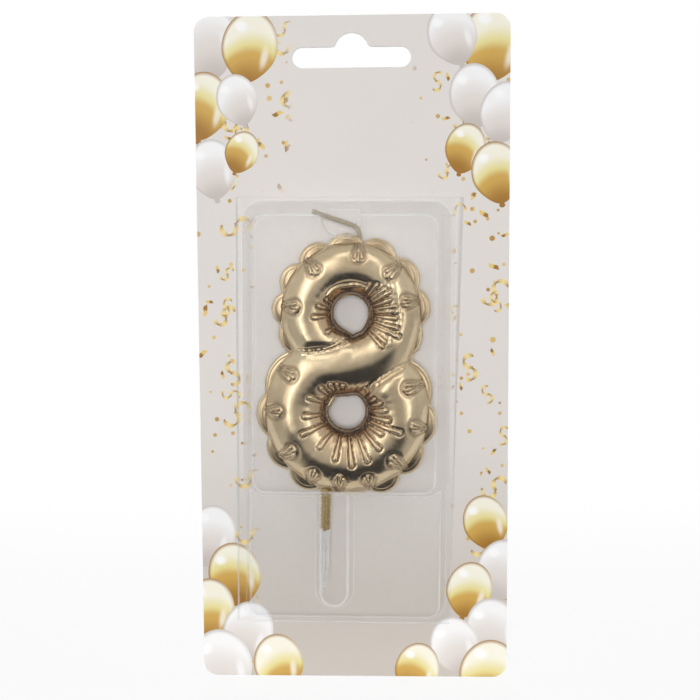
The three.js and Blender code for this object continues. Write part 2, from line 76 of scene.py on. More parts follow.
class Value:
    """A number, vector or colour in a node tree. Sums written with it add Math nodes."""

    def __init__(self, tree, socket):
        self.tree = tree
        self.socket = socket

    def __add__(self, other):
        return self.tree.maths("ADD", self, other)

    def __radd__(self, other):
        return self.tree.maths("ADD", other, self)

    def __sub__(self, other):
        return self.tree.maths("SUBTRACT", self, other)

    def __rsub__(self, other):
        return self.tree.maths("SUBTRACT", other, self)

    def __mul__(self, other):
        return self.tree.maths("MULTIPLY", self, other)

    def __truediv__(self, other):
        return self.tree.maths("DIVIDE", self, other)

    def __pow__(self, other):
        return self.tree.maths("POWER", self, other)

    def __lt__(self, other):
        return self.tree.maths("LESS_THAN", self, other)

    def __gt__(self, other):
        return self.tree.maths("GREATER_THAN", self, other)

    def __abs__(self):
        return self.tree.maths("ABSOLUTE", self)


class Tree:
    """Adds nodes to a tree and joins them by name."""

    def __init__(self, group):
        self.group = group

    def add(self, kind, settings=None, **inputs):
        node = self.group.nodes.new(kind)
        for key, value in (settings or {}).items():
            setattr(node, key, value)
        for key, value in inputs.items():
            self.put(node.inputs[key.replace("_", " ")], value)
        return node

    def get(self, output, kind, settings=None, **inputs):
        """One output of a new node, by name or number."""
        return Value(self, self.add(kind, settings, **inputs).outputs[output])

    def given(self):
        """The inputs of a node group, by name."""
        return {socket.name: Value(self, socket) for socket in self.add("NodeGroupInput").outputs}

    def give(self, value):
        """Ends a node group with this as its output."""
        self.put(self.add("NodeGroupOutput").inputs[0], value)

    def put(self, socket, value):
        if isinstance(value, Value):
            value = value.socket
        elif isinstance(value, bpy.types.Node):
            value = value.outputs[0]
        if isinstance(value, bpy.types.NodeSocket):
            self.group.links.new(value, socket)
        else:
            socket.default_value = value

    def fill(self, node, values):
        """Sets a node's inputs in their order."""
        for socket, value in zip(node.inputs, values):
            self.put(socket, value)
        return Value(self, node.outputs[0])

    def maths(self, operation, *values, clamp=False):
        node = self.add("ShaderNodeMath", {"operation": operation, "use_clamp": clamp})
        return self.fill(node, values)

    def least(self, a, b):
        return self.maths("MINIMUM", a, b)

    def most(self, a, b):
        return self.maths("MAXIMUM", a, b)

    def length(self, a, b):
        return self.maths("SQRT", a * a + b * b)

    def vector(self, operation, *values):
        return self.fill(self.add("ShaderNodeVectorMath", {"operation": operation}), values)

    def scaled(self, vector, amount):
        return self.get("Vector", "ShaderNodeVectorMath", {"operation": "SCALE"}, Vector=vector,
                        Scale=amount)

    def split(self, vector):
        """The three numbers of a vector."""
        node = self.add("ShaderNodeSeparateXYZ", Vector=vector)
        return [Value(self, socket) for socket in node.outputs]

    def point(self, x, y, z):
        return self.get("Vector", "ShaderNodeCombineXYZ", X=x, Y=y, Z=z)

    def span(self, value, start, end, low=0.0, high=1.0, curve="SMOOTHSTEP"):
        """Maps start..end to low..high."""
        return self.get("Result", "ShaderNodeMapRange", {"interpolation_type": curve}, Value=value,
                        From_Min=start, From_Max=end, To_Min=low, To_Max=high)

    def between(self, share, low, high):
        return self.span(share, 0.0, 1.0, low, high, "LINEAR")

    def blend(self, share, first, second, kind="RGBA"):
        """Mixes two colours, or two vectors."""
        at, out = {"RGBA": (6, 2), "VECTOR": (4, 1)}[kind]
        node = self.add("ShaderNodeMix", {"data_type": kind}, Factor=share)
        self.put(node.inputs[at], first)
        self.put(node.inputs[at + 1], second)
        return Value(self, node.outputs[out])

    def noise(self, place, scale, detail):
        return self.get("Fac", "ShaderNodeTexNoise", Vector=place, Scale=scale, Detail=detail)

    def bump(self, height, distance, strength, **under):
        return self.get("Normal", "ShaderNodeBump", Height=height, Distance=distance,
                        Strength=strength, **under)

    def mix_shaders(self, share, first, second):
        return self.fill(self.add("ShaderNodeMixShader"), (share, first, second))


def new_material(name):
    material = bpy.data.materials.new(name)
    material.use_nodes = True
    material.node_tree.nodes.clear()
    tree = Tree(material.node_tree)
    output = tree.add("ShaderNodeOutputMaterial")
    return material, tree, output.inputs["Surface"]


def in_millimetres(tree):
    return tree.scaled(tree.get("Object", "ShaderNodeTexCoord"), 1 / MM)


def eye_rays(tree):
    """1 on what the camera sees, straight or through the clear sheet, and 1 on what is mirrored."""
    rays = tree.add("ShaderNodeLightPath").outputs
    seen = tree.most(rays["Is Camera Ray"], rays["Is Transmission Ray"])
    return seen, Value(tree, rays["Is Glossy Ray"])


def linked(name, data):
    """A new object in the scene."""
    thing = bpy.data.objects.new(name, data)
    bpy.context.scene.collection.objects.link(thing)
    return thing


def make_piece(name, points, faces, material, attributes=None):
    """A smooth mesh object from points in metres and a list or array of faces."""
    mesh = bpy.data.meshes.new(name)
    mesh.from_pydata([tuple(p) for p in points], [], [tuple(f) for f in faces])
    mesh.shade_smooth()
    for label, values in (attributes or {}).items():
        layer = mesh.attributes.new(label, "FLOAT", "POINT")
        layer.data.foreach_set("value", np.asarray(values, dtype=np.float32))
    mesh.materials.append(material)
    mesh.update()
    return linked(name, mesh)


def leaned(points, lean, place):
    """Turns points by lean degrees, their top towards +X, and moves them to place."""
    c, s = math.cos(math.radians(lean)), math.sin(math.radians(lean))
    p = np.asarray(points, dtype=float)
    return np.stack([p[:, X] * c + p[:, Z] * s, p[:, Y], p[:, Z] * c - p[:, X] * s], 1) + place


def new_group(name, inputs, output, kind="ShaderNodeTree"):
    """A node group, and its inputs by name."""
    group = bpy.data.node_groups.new(name, kind)
    for way, sockets in (("INPUT", inputs), ("OUTPUT", output)):
        for label, holds in sockets.items():
            group.interface.new_socket(label, in_out=way, socket_type="NodeSocket" + holds)
    tree = Tree(group)
    return tree, tree.given()


def shape_tree(name, sizes):
    """A Geometry Nodes tree with geometry in and out, and a named input for every size."""
    kinds = {label: "Int" if isinstance(value, int) else "Float" for label, value in sizes.items()}
    return new_group(name, {"Geometry": "Geometry", **kinds}, {"Geometry": "Geometry"},
                     "GeometryNodeTree")


def end_tree(tree, shape, material, lean, place):
    """Puts a shape made in millimetres in its leaning place, as one mesh with its material."""
    put = tree.add("GeometryNodeTransform", Geometry=shape, Translation=tuple(place * MM),
                   Rotation=(0, math.radians(lean), 0), Scale=(MM, MM, MM))
    soft = tree.add("GeometryNodeSetShadeSmooth", Geometry=put)
    real = tree.add("GeometryNodeRealizeInstances", Geometry=soft)
    tree.give(tree.add("GeometryNodeSetMaterial", Geometry=real, Material=material))


def grow(name, source_data, tree, sizes):
    """Runs a tree with these sizes over a line, points or grid, and gives back a plain mesh."""
    source = linked(name + "_source", source_data)
    modifier = source.modifiers.new("shape", "NODES")
    modifier.node_group = tree.group
    for item in tree.group.interface.items_tree:
        if item.item_type == "SOCKET" and item.in_out == "INPUT" and item.name in sizes:
            modifier[item.identifier] = sizes[item.name]
    seen = bpy.context.evaluated_depsgraph_get()
    mesh = bpy.data.meshes.new_from_object(source.evaluated_get(seen), depsgraph=seen)
    source.modifiers.clear()
    bpy.data.objects.remove(source)
    mesh.name = name
    return linked(name, mesh)


# ---------------------------------------------------------------------------
# Camera, light and floor
# ---------------------------------------------------------------------------

# Metres, but degrees for its turn, and millimetres for its lens and sensor
CAMERA = {"place": (0.00754, -0.26617, -0.06559), "turn": (85.752, 0.309, 1.785), "lens": 50,
          "sensor": 36, "near": 0.01}

# name, place, width and height, watts, whether gold and plastic mirror it
LAMPS = [
    ("left_strip", (-0.20, -0.44, 0.00), (0.07, 0.40), 0.16, True),
    ("right_strip", (0.26, -0.40, 0.00), (0.05, 0.40), 0.10, True),
    ("top_box", (0.02, -0.30, 0.34), (0.36, 0.16), 0.22, True),
    ("front_fill", (0.01, -0.45, -0.06), (0.12, 0.12), 1.15, False),
    ("back_fill", (-0.05, 0.50, 0.05), (0.30, 0.30), 1.65, False),
]
LAMP_AIM = (0, 0, -0.085)      # about the pack's middle


def set_camera():
    data = bpy.data.cameras.new("camera")
    data.lens = CAMERA["lens"]
    data.sensor_width = CAMERA["sensor"]
    data.clip_start = CAMERA["near"]
    camera = linked("camera", data)
    camera.location = CAMERA["place"]
    camera.rotation_euler = [math.radians(a) for a in CAMERA["turn"]]
    bpy.context.scene.camera = camera


def add_lamp(name, place, size, watts, mirrored):
    data = bpy.data.lights.new(name, "AREA")
    data.shape = "RECTANGLE"
    data.size, data.size_y = size
    data.energy = watts
    lamp = linked(name, data)
    lamp.location = place
    direction = np.subtract(LAMP_AIM, place)
    across = np.cross(direction, (0, 0, 1))
    over = np.cross(across, direction)
    unit = [v / np.linalg.norm(v) for v in (across, over, -direction)]
    lamp.rotation_euler = Matrix(np.transpose(unit).tolist()).to_euler()
    lamp.visible_glossy = mirrored


def light_room():
    """A white tent with two tall windows at the front, open below the table's front edge.

    What is mirrored sees the tent in full, and matt surfaces get less of its light: the two
    fills, which nothing mirrors, light them instead."""
    world = bpy.data.worlds.new("white_tent")
    bpy.context.scene.world = world
    world.use_nodes = True
    world.node_tree.nodes.clear()
    tree = Tree(world.node_tree)
    x, y, z = tree.split(tree.get("Generated", "ShaderNodeTexCoord"))
    low = tree.span(z, -0.13, -0.38) * tree.span(z, -0.96, -0.88)
    ahead = tree.span(y, -0.08, -0.38) * tree.span(abs(x), 0.66, 0.36)
    opening = low * ahead
    turn = x / tree.most(y * -1.0, 0.02)
    tall = tree.span(z, -0.26, -0.06) * tree.span(z, 0.78, 0.55) * (y < 0.0)
    left = tree.span(turn, -0.08, -0.24) * tree.span(turn, -1.05, -0.72)
    right = tree.span(turn, 0.30, 0.46) * tree.span(turn, 0.95, 0.72)
    wall = tree.span(z, -0.10, 0.25, 0.62, 0.84)
    glow = wall + left * tall + right * tall * 0.8
    glow = glow * tree.between(opening, 1.0, 0.05)
    seen, mirrored = eye_rays(tree)
    glow = glow * tree.between(mirrored, 0.30, 1.0)
    strength = seen + (1.0 - seen) * glow
    background = tree.add("ShaderNodeBackground", Color=(1, 1, 1, 1), Strength=strength)
    tree.add("ShaderNodeOutputWorld", Surface=background)
    for lamp in LAMPS:
        add_lamp(*lamp)


def lay_floor(level):
    """A pale table, seen as white, that keeps some of the pack's shadow near it."""
    material, tree, surface = new_material("pale_table")
    place = in_millimetres(tree)
    grain = tree.span(tree.noise(place, 0.05, 4), 0.3, 0.7)
    shade = tree.blend(grain, (0.93, 0.93, 0.93, 1), (0.95, 0.95, 0.95, 1))
    matt = tree.add("ShaderNodeBsdfPrincipled", Base_Color=shade, Roughness=0.8,
                    Specular_IOR_Level=0.1)
    white = tree.add("ShaderNodeEmission", Color=(1, 1, 1, 1), Strength=1.0)
    seen, mirrored = eye_rays(tree)
    _, behind, _ = tree.split(place)
    white_share = tree.span(behind, 10.0, 260.0, 0.88, 1.0)
    tree.put(surface, tree.mix_shaders(tree.most(seen, mirrored) * white_share, matt, white))
    wide, front, back, thick = 0.7, -0.045, 0.7, 0.02
    outline = [(-wide, front), (wide, front), (wide, back), (-wide, back)]
    points = [(x, y, level) for x, y in outline] + [(x, y, level - thick) for x, y in outline]
    faces = [(0, 1, 2, 3), (4, 7, 6, 5), (0, 4, 5, 1), (1, 5, 6, 2), (2, 6, 7, 3), (3, 7, 4, 0)]
    floor = make_piece("table", points, faces, material)
    floor.data.shade_flat()


# ---------------------------------------------------------------------------
# Where the candle and the sheet stand, in millimetres
# ---------------------------------------------------------------------------

WALL_DRAFT = math.radians(15.5)
SHEET_WALL = 0.4
SHEET_LEAN = 0.5               # degrees, its top towards the right
SHEET_X = -2.0                 # the pocket's middle
POCKET_TOP = -44.7             # below the card's slot
POCKET_WIDTH = 57.0
POCKET_HEIGHT = 81.8
TRAY_HEIGHT = 33.8
CANDLE_LEAN = 1.8              # degrees, its top towards the right
CANDLE_X = -1.5                # the lower hole's centre
CANDLE_AHEAD = 7.35            # from the card to the candle's middle plane
SEAM_HALF = 0.5                # half as thick as the seam, which comes nearest to the wall
LOOSE_GAP = 0.3                # between pieces that touch on the real pack


# ---------------------------------------------------------------------------
# The 8: an inflated tube with a scalloped seam, folded under itself at its waist
# ---------------------------------------------------------------------------
# Millimetres in the candle's own frame: x across, z up, the lower hole's centre at the
# origin, and y out of the tube's middle plane. Front and back are alike.

LOWER = {"centre": (0.0, 0.0), "radius": 13.7, "width": 8.4, "depth": 6.6}
UPPER = {"centre": (0.35, 26.3), "radius": 11.9, "width": 6.9, "depth": 6.0}
UPPER_ARC = (-5.0, 240.0)  # from where it runs into the stroke to its folded end
LOWER_ARC = (135.0, 392.0)  # from where the stroke runs into it to its end
STROKE_PULL = (16.0, 5.0)  # how far the stroke keeps to the upper and the lower loop's heading
END_LENGTH = 4.5           # of the lower tube's flat tip
STROKE_WIDTHS = ((0.0, 6.9), (0.38, 8.3), (0.75, 7.6), (1.0, 8.4))  # half as wide, down its line
FOLD_SWELL = 1.5           # how much wider the upper tube gets on its outer side before its end
FOLD_LINE = ((-14.3, 14.9), (0.04, 18.6))  # where the upper tube's end is folded under
LOWER_FOLD_LINE = ((4.6, 6.4), (16.0, 13.2))  # where the lower tube's end goes under
FOLD_ROLL = 4.6            # how far from there the tube starts to roll down
FOLD_UNDER = 1.7           # how far it would go on under the stroke
HOLE_RELIEF = 1.0          # how much narrower the stroke is beside the upper hole
FOLD_RELIEF = 0.9          # and beside the upper tube's folded end
COLLAR = {"radius": 7.5, "width": 2.2, "depth": 3.0}  # rounds off the lower hole under the stroke
END_NARROWING = 0.12       # the share of its width that the lower tube loses before its end
RIM_REACH = 0.5            # the flat seam beyond the tube's edge
HOLE_RIM_REACH = 0.45      # and inside the holes
RIM_HALF = 0.25            # half as thick as the seam
SCALLOP_REACH = 2.4        # how far a scallop stands out from the tube's edge
WAIST_REACH = 1.7          # and one beside the waist
SCALLOP_HALF = 1.5         # half as thick as a scallop
SKIN_BOX = ((-23.4, -8.0, -23.4), (23.4, 8.0, 46.4))
SKIN_STEP, SKIN_STEP_QUICK = 0.33, 0.42


def on_loop(loop, radius, angle):
    a = math.radians(angle)
    x, z = loop["centre"]
    return np.array([x + radius * math.cos(a), z + radius * math.sin(a)])


def heading(angle, turn):
    a = math.radians(angle)
    return turn * np.array([-math.sin(a), math.cos(a)])


def eased(t, stops):
    """A value that runs smoothly from stop to stop, each a place and a value."""
    value = np.full(t.shape, stops[0][1])
    for (start, low), (end, high) in zip(stops, stops[1:]):
        value = np.where(t < start, value, mix(low, high, smooth((t - start) / (end - start))))
    return value


def stroke_line(count=260):
    """Points and half widths down the diagonal stroke between the two loops."""
    first = on_loop(UPPER, UPPER["radius"], UPPER_ARC[0])
    last = on_loop(LOWER, LOWER["radius"], LOWER_ARC[0])
    second = first + STROKE_PULL[0] * heading(UPPER_ARC[0], -1)
    third = last - STROKE_PULL[1] * heading(LOWER_ARC[0], 1)
    t = np.linspace(0, 1, count)[:, None]
    points = ((1 - t) ** 3 * first + 3 * (1 - t) ** 2 * t * second
              + 3 * (1 - t) * t ** 2 * third + t ** 3 * last)
    t = t[:, 0]
    return points, eased(t, STROKE_WIDTHS), mix(UPPER["depth"], LOWER["depth"], smooth(t))


STROKE = stroke_line()


def beside(x, z, start, end):
    """How far along and how far to the left of a line each place is, and the line's length."""
    (ax, az), (bx, bz) = start, end
    length = math.hypot(bx - ax, bz - az)
    ex, ez = (bx - ax) / length, (bz - az) / length
    return (x - ax) * ex + (z - az) * ez, (z - az) * ex - (x - ax) * ez, length


def loop_part(x, z, loop, start, end, folded=False):
    """How far across a loop's tube a point is: 0 on its centreline, 1 at its edge.

    The tube's start runs on into the stroke, or out of it. Its other end is drawn to a flat
    tip, or swells and rolls down to a straight fold."""
    dx, dz = x - loop["centre"][0], z - loop["centre"][1]
    middle = (start + end) / 2
    angle = middle + (np.degrees(np.arctan2(dz, dx)) - middle + 180) % 360 - 180
    within = (angle >= start) & (angle <= end)
    out = np.hypot(dx, dz) - loop["radius"]
    swell = FOLD_SWELL if folded else 0.0
    width = loop["width"] + swell * (out > 0) * smooth((angle - end + 30) / 18)
    across = (out / width) ** 2
    at = on_loop(loop, loop["radius"], start)
    beyond_joined = ((x - at[0]) ** 2 + (z - at[1]) ** 2) / loop["width"] ** 2
    at = on_loop(loop, loop["radius"], end)
    ahead, outward = heading(end, 1), on_loop({"centre": (0, 0)}, 1, end)
    along = np.clip((x - at[0]) * ahead[0] + (z - at[1]) * ahead[1], 0, None) / END_LENGTH
    out = (x - at[0]) * outward[0] + (z - at[1]) * outward[1]
    if folded:
        _, above, _ = beside(x, z, *FOLD_LINE)
        roll = np.clip(1 - (above + FOLD_UNDER) / FOLD_ROLL, 0, None) * (angle > end - 90)
        beyond_free = (out / (loop["width"] + swell * (out > 0))) ** 2
        across, beyond_free = [np.where(roll < 1, g + roll ** 2 - g * roll ** 2, g + roll ** 2)
                               for g in (across, beyond_free)]
    else:
        out = (out / (loop["width"] * (1 - END_NARROWING * np.clip(along, 0, 1)))) ** 2
        beyond_free = np.where(along < 1, out + along ** 2 - out * along ** 2, out + along ** 2)
    past_free = (angle > end) | (angle < start - (360 - end + start) / 2)
    return np.where(within, across, np.where(past_free, beyond_free, beyond_joined))


def stroke_part(x, z):
    """The same across the stroke, with its half depth and its distance beyond the edge."""
    points, width, depth = STROKE
    # The nearest point of the line, looked for in a few points at a time to save memory
    best = np.full(x.shape, np.inf)
    index = np.zeros(x.shape, dtype=int)
    batch = 20
    for i in range(0, len(points), batch):
        some = points[i:i + batch]
        d = (x[..., None] - some[:, 0]) ** 2 + (z[..., None] - some[:, 1]) ** 2
        near = d.argmin(-1)
        least = np.take_along_axis(d, near[..., None], -1)[..., 0]
        closer = least < best
        best = np.where(closer, least, best)
        index = np.where(closer, near + i, index)
    way = np.gradient(points, axis=0)
    step = np.linalg.norm(way, axis=1)
    way = way / step[:, None]
    dx, dz = x - points[index, 0], z - points[index, 1]
    along = dx * way[index, 0] + dz * way[index, 1]
    inner = (index > 0) & (index < len(points) - 1)
    best = best - np.where(inner, along ** 2, 0)
    t = (index + np.where(inner, along / step[index], 0)) / (len(points) - 1)
    # Its side towards the upper hole is narrower beside that hole and the folded end.
    above = way[index, 0] * dz - way[index, 1] * dx < 0
    relief = HOLE_RELIEF * smooth((t - 0.08) / 0.22) * smooth((0.62 - t) / 0.15)
    relief = relief + FOLD_RELIEF * smooth((t - 0.55) / 0.2) * smooth((1.02 - t) / 0.16)
    place = np.linspace(0, 1, len(points))
    wide = np.interp(t, place, width) - relief * above
    return best / wide ** 2, np.interp(t, place, depth), np.sqrt(best) - wide


def scallop_row(loop, count, span, drift, short):
    """Discs along a loop, as x, z and radius. Those named as short stand out less."""
    steps = np.arange(count + 1) / count
    cusps = mix(span[0], span[1], steps) + drift * np.sin(math.pi * steps)
    outer = loop["radius"] + loop["width"]
    cusp_radius = outer + RIM_REACH / 2
    discs = []
    for i in range(count):
        reach = WAIST_REACH if i in short else SCALLOP_REACH
        half = math.radians(abs(cusps[i + 1] - cusps[i]) / 2)
        chord = cusp_radius * math.sin(half)
        rise = outer + reach - cusp_radius * math.cos(half)
        radius = (chord ** 2 + rise ** 2) / (2 * rise)
        middle = on_loop(loop, outer + reach - radius, (cusps[i] + cusps[i + 1]) / 2)
        discs.append((*middle, radius))
    return discs


LOWER_SCALLOPS = (scallop_row(LOWER, 4, (136, 252), 6, [0])
                  + scallop_row(LOWER, 4, (288, 398), -6, [3]))
SCALLOPS = scallop_row(UPPER, 9, (217, -40), 7.5, [0, 8]) + LOWER_SCALLOPS


def tongue(loop, angle, start, end, width_start, width_end, height, fan=0.0):
    """A round-ended fold of the skin: its two ends, half widths and height."""
    a = on_loop(loop, start, angle)
    way = on_loop(loop, start + 1, angle) - a
    c, s = math.cos(math.radians(fan)), math.sin(math.radians(fan))
    way = np.array([way[0] * c - way[1] * s, way[0] * s + way[1] * c])
    return (*a, *(a + way * (end - start)), width_start, width_end, height)


# Tongues round the holes: which way each points, in degrees, and how far from the hole's
# centre it ends
LOWER_TONGUES = [
    (99, 7.9), (109, 8.6), (121, 9.2), (137, 10.0), (157, 11.1), (185, 11.6), (208, 13.3),
    (234, 11.9), (256.5, 13.0), (277, 14.4), (297.5, 14.2), (315, 13.2), (330, 11.2),
    (342, 15.6), (353.5, 11.8), (366, 10.8), (378, 9.8), (389, 8.8)]
RIGHT_TONGUES = [
    (58, 9.6), (47.5, 10.6), (38, 11.6), (29, 12.2), (20, 11.4), (12, 12.6), (4, 11.6),
    (-4, 12.4), (-15.6, 13.2), (-27, 14.6), (-36, 12.2), (-45, 12.6)]
LEFT_TONGUES = [(153, 7.6), (169, 9.0), (188, 10.2), (221, 8.2)]
# Fans of short folds inside the seam: their angles on each loop
UPPER_FANS = (175.6, 130.5, 84.8, 46.6, 12)
LOWER_FANS = (148.3, 180.6, 215.3, 244, 265.4, 289, 318, 350, 382.3)


def skin_folds():
    """Tongues round both holes, and fans of short folds inside the seam."""
    folds = []
    for i, (angle, end) in enumerate(LOWER_TONGUES):
        lift = 0.44 + 0.08 * math.sin(i * 2.4)
        folds.append(tongue(LOWER, angle, 6.3, end - 0.7, 0.36, 0.70, lift, 3 * math.sin(i * 1.7)))
    for i, (angle, end) in enumerate(RIGHT_TONGUES):
        lift = 0.40 + 0.10 * math.sin(i * 1.9)
        folds.append(tongue(UPPER, angle, 5.9, end - 0.6, 0.30, 0.58, lift, 4 * math.sin(i * 2.3)))
    for angle, end in LEFT_TONGUES:
        folds.append(tongue(UPPER, angle, 6.0, end - 0.6, 0.34, 0.62, 0.44))
    fans = [(UPPER, angle) for angle in UPPER_FANS] + [(LOWER, angle) for angle in LOWER_FANS]
    for i, (loop, angle) in enumerate(fans):
        rim = loop["radius"] + loop["width"] - 0.5
        reach = 4.6 + 0.5 * math.sin(i * 3)
        lean = 6 * math.sin(i * 2.1)
        folds.append(tongue(loop, angle, rim, rim - reach + 1.3, 0.8, 1.75, 0.24, -lean))
        for turn, share in ((-15, 0.86), (0, 1.0), (15, 0.84)):
            end = rim - reach * share
            folds.append(tongue(loop, angle, rim, end, 0.26, 0.44, 0.42, -lean - turn))
    return folds


FOLDS = skin_folds()


def billow(x, y, z, size, seed):
    """A soft, even swell, from -1 to 1, with waves about size long."""
    rng = np.random.default_rng(seed)
    total = np.zeros(np.broadcast(x, y, z).shape)
    for _ in range(7):
        way = rng.normal(size=3)
        way *= 2 * math.pi / (size * rng.uniform(0.7, 1.5)) / np.linalg.norm(way)
        total = total + np.sin(x * way[0] + y * way[1] + z * way[2] + rng.uniform(0, 6.28))
    return total / 4


def skin_plan(x, z):
    """What the candle's section needs at each place of its outline, for any y."""
    upper = loop_part(x, z, UPPER, *UPPER_ARC, folded=True)
    lower = loop_part(x, z, LOWER, *LOWER_ARC)
    collar = ((np.hypot(x, z) - COLLAR["radius"]) / COLLAR["width"]) ** 2
    stroke, stroke_depth, edge = stroke_part(x, z)
    for part, own in ((upper, UPPER), (lower, LOWER), (collar, COLLAR)):
        edge = np.minimum(edge, (np.sqrt(part) - 1) * own["width"])
    crest = np.zeros(x.shape)
    valley = np.zeros(x.shape)
    for ax, az, bx, bz, wide_a, wide_b, height in FOLDS:
        along, aside, length = beside(x, z, (ax, az), (bx, bz))
        t = np.clip(along / length, 0, 1)
        distance = np.hypot(along - t * length, aside) / mix(wide_a, wide_b, t)
        crest = np.maximum(crest, height * np.clip(1 - distance ** 2, 0, 1) ** 0.6)
        valley = np.maximum(valley, 0.7 * height * np.exp(-((distance - 1.2) / 0.30) ** 2))
    from_upper = np.hypot(x - UPPER["centre"][0], z - UPPER["centre"][1])
    in_hole = np.minimum(np.hypot(x, z), from_upper) < 8
    rim = np.where(in_hole, HOLE_RIM_REACH, RIM_REACH)
    heights = [np.sqrt(np.clip(1 - part, 0, 1)) * depth
               for part, depth in ((upper, UPPER["depth"]), (lower, LOWER["depth"]),
                                   (stroke, stroke_depth))]
    return {"upper": upper, "lower": lower, "collar": collar, "stroke": stroke,
            "stroke_depth": stroke_depth, "edge": edge, "rim": rim, "crest": crest,
            "valley": valley, "heights": heights}


def gathers(x, z, plan):
    """Puckered lips along the two folds where the tube's ends go under the stroke."""
    lift = np.zeros(x.shape)
    upper, lower, stroke = plan["heights"]
    for height, ends in ((upper, FOLD_LINE), (lower, LOWER_FOLD_LINE)):
        gap = height - stroke
        along, aside, length = beside(x, z, *ends)
        near = smooth((3.6 - np.abs(aside)) / 1.2)
        near = near * smooth((along + 1.5) / 1.5) * smooth((length + 1.0 - along) / 1.5)
        sway = along + 0.5 * gap
        ripple = 0.5 + 0.5 * np.sin(sway * 4.4 + 1.2 * np.sin(along * 1.1))
        lip = np.exp(-((gap - 0.7) / 0.55) ** 2) + 0.7 * np.exp(-((gap + 0.6) / 0.45) ** 2)
        lift += near * lip * (0.20 + 0.30 * ripple)
        lift -= near * 0.16 * np.exp(-((gap - 2.1) / 0.6) ** 2) * ripple
    return lift


def skin_detail(x, y, z, plan):
    """How far the skin stands out from the plain tube."""
    face = smooth((np.abs(y) - 0.5) / 1.2)
    # Fine creases that run out of both holes
    creases = np.zeros(np.broadcast(x, y).shape)
    for loop, waves, fade in ((LOWER, 37, 2.3), (UPPER, 31, 1.8)):
        dx, dz = x - loop["centre"][0], z - loop["centre"][1]
        away = np.clip(np.hypot(dx, dz) - (loop["radius"] - loop["width"]), 0, None)
        turn = np.arctan2(dz, dx)
        wave = np.sin(waves * turn + 2 * np.sin(3 * turn))
        creases = creases + 0.10 * np.exp(-away / fade) * wave
    # A lip over the upper hole, with a groove round it
    dx, dz = x - UPPER["centre"][0], z - UPPER["centre"][1]
    away, turn = np.hypot(dx, dz), np.degrees(np.arctan2(dz, dx))
    over_hole = smooth((turn - 48) / 14) * smooth((158 - turn) / 14)
    lip = 0.34 * np.exp(-((away - 7.3 - 0.3 * np.sin(turn / 9)) / 0.5) ** 2)
    lip = lip - 0.24 * np.exp(-((away - 8.3) / 0.5) ** 2)
    # The crumpled part at the right of the upper hole's tongues
    crumple = smooth((away - 9.2) / 1.5) * smooth((14.2 - away) / 1.5)
    crumple = crumple * smooth((turn + 52) / 14) * smooth((52 - turn) / 14)
    detail = plan["crest"] - plan["valley"] + creases + over_hole * lip + gathers(x, z, plan)
    detail = detail + 0.16 * crumple * billow(x, y * 0.4, z, 1.9, 5)
    return face * detail + 0.06 * billow(x, y, z, 8.5, 2) + 0.012 * billow(x, y, z, 3.2, 3)


def soft_least(a, b, reach):
    h = np.clip(0.5 + 0.5 * (b - a) / reach, 0, 1)
    return mix(b, a, h) - reach * h * (1 - h)


def skin_field(x, y, z, plan):
    """Below 0 inside the candle, above 0 outside, in about millimetres."""
    tube = None
    for part, depth in ((plan["upper"], UPPER["depth"]), (plan["lower"], LOWER["depth"]),
                        (plan["collar"], COLLAR["depth"]), (plan["stroke"], plan["stroke_depth"])):
        own = (np.sqrt(part + (y / depth) ** 2) - 1) * depth
        tube = own if tube is None else np.minimum(tube, own)
    tube = tube - skin_detail(x, y, z, plan)
    rim = np.hypot(np.clip(plan["edge"] - plan["rim"] + RIM_HALF, 0, None), y) - RIM_HALF
    return soft_least(tube, rim, 0.25)


def settle(field):
    """Fills in one corner wherever two corners of a grid square touch only across it.

    The surface then never meets itself along an edge."""
    for _ in range(12):
        changed = 0
        for a, b in ((X, Y), (Y, Z), (X, Z)):
            corners = []
            for da, db in ((0, 0), (1, 1), (1, 0), (0, 1)):
                part = [slice(None)] * 3
                part[a] = slice(1, None) if da else slice(None, -1)
                part[b] = slice(1, None) if db else slice(None, -1)
                corners.append(field[tuple(part)])
            inside = [corner < 0 for corner in corners]
            for first in (0, 2):
                empty, full = (first, first + 1), (2 - first, 3 - first)
                touching = ~inside[empty[0]] & ~inside[empty[1]] & inside[full[0]] & inside[full[1]]
                place = np.nonzero(touching)
                changed += len(place[0])
                nearer = corners[empty[0]][place] <= corners[empty[1]][place]
                for corner, chosen in ((empty[0], nearer), (empty[1], ~nearer)):
                    corners[corner][tuple(p[chosen] for p in place)] = -0.002
        if not changed:
            break


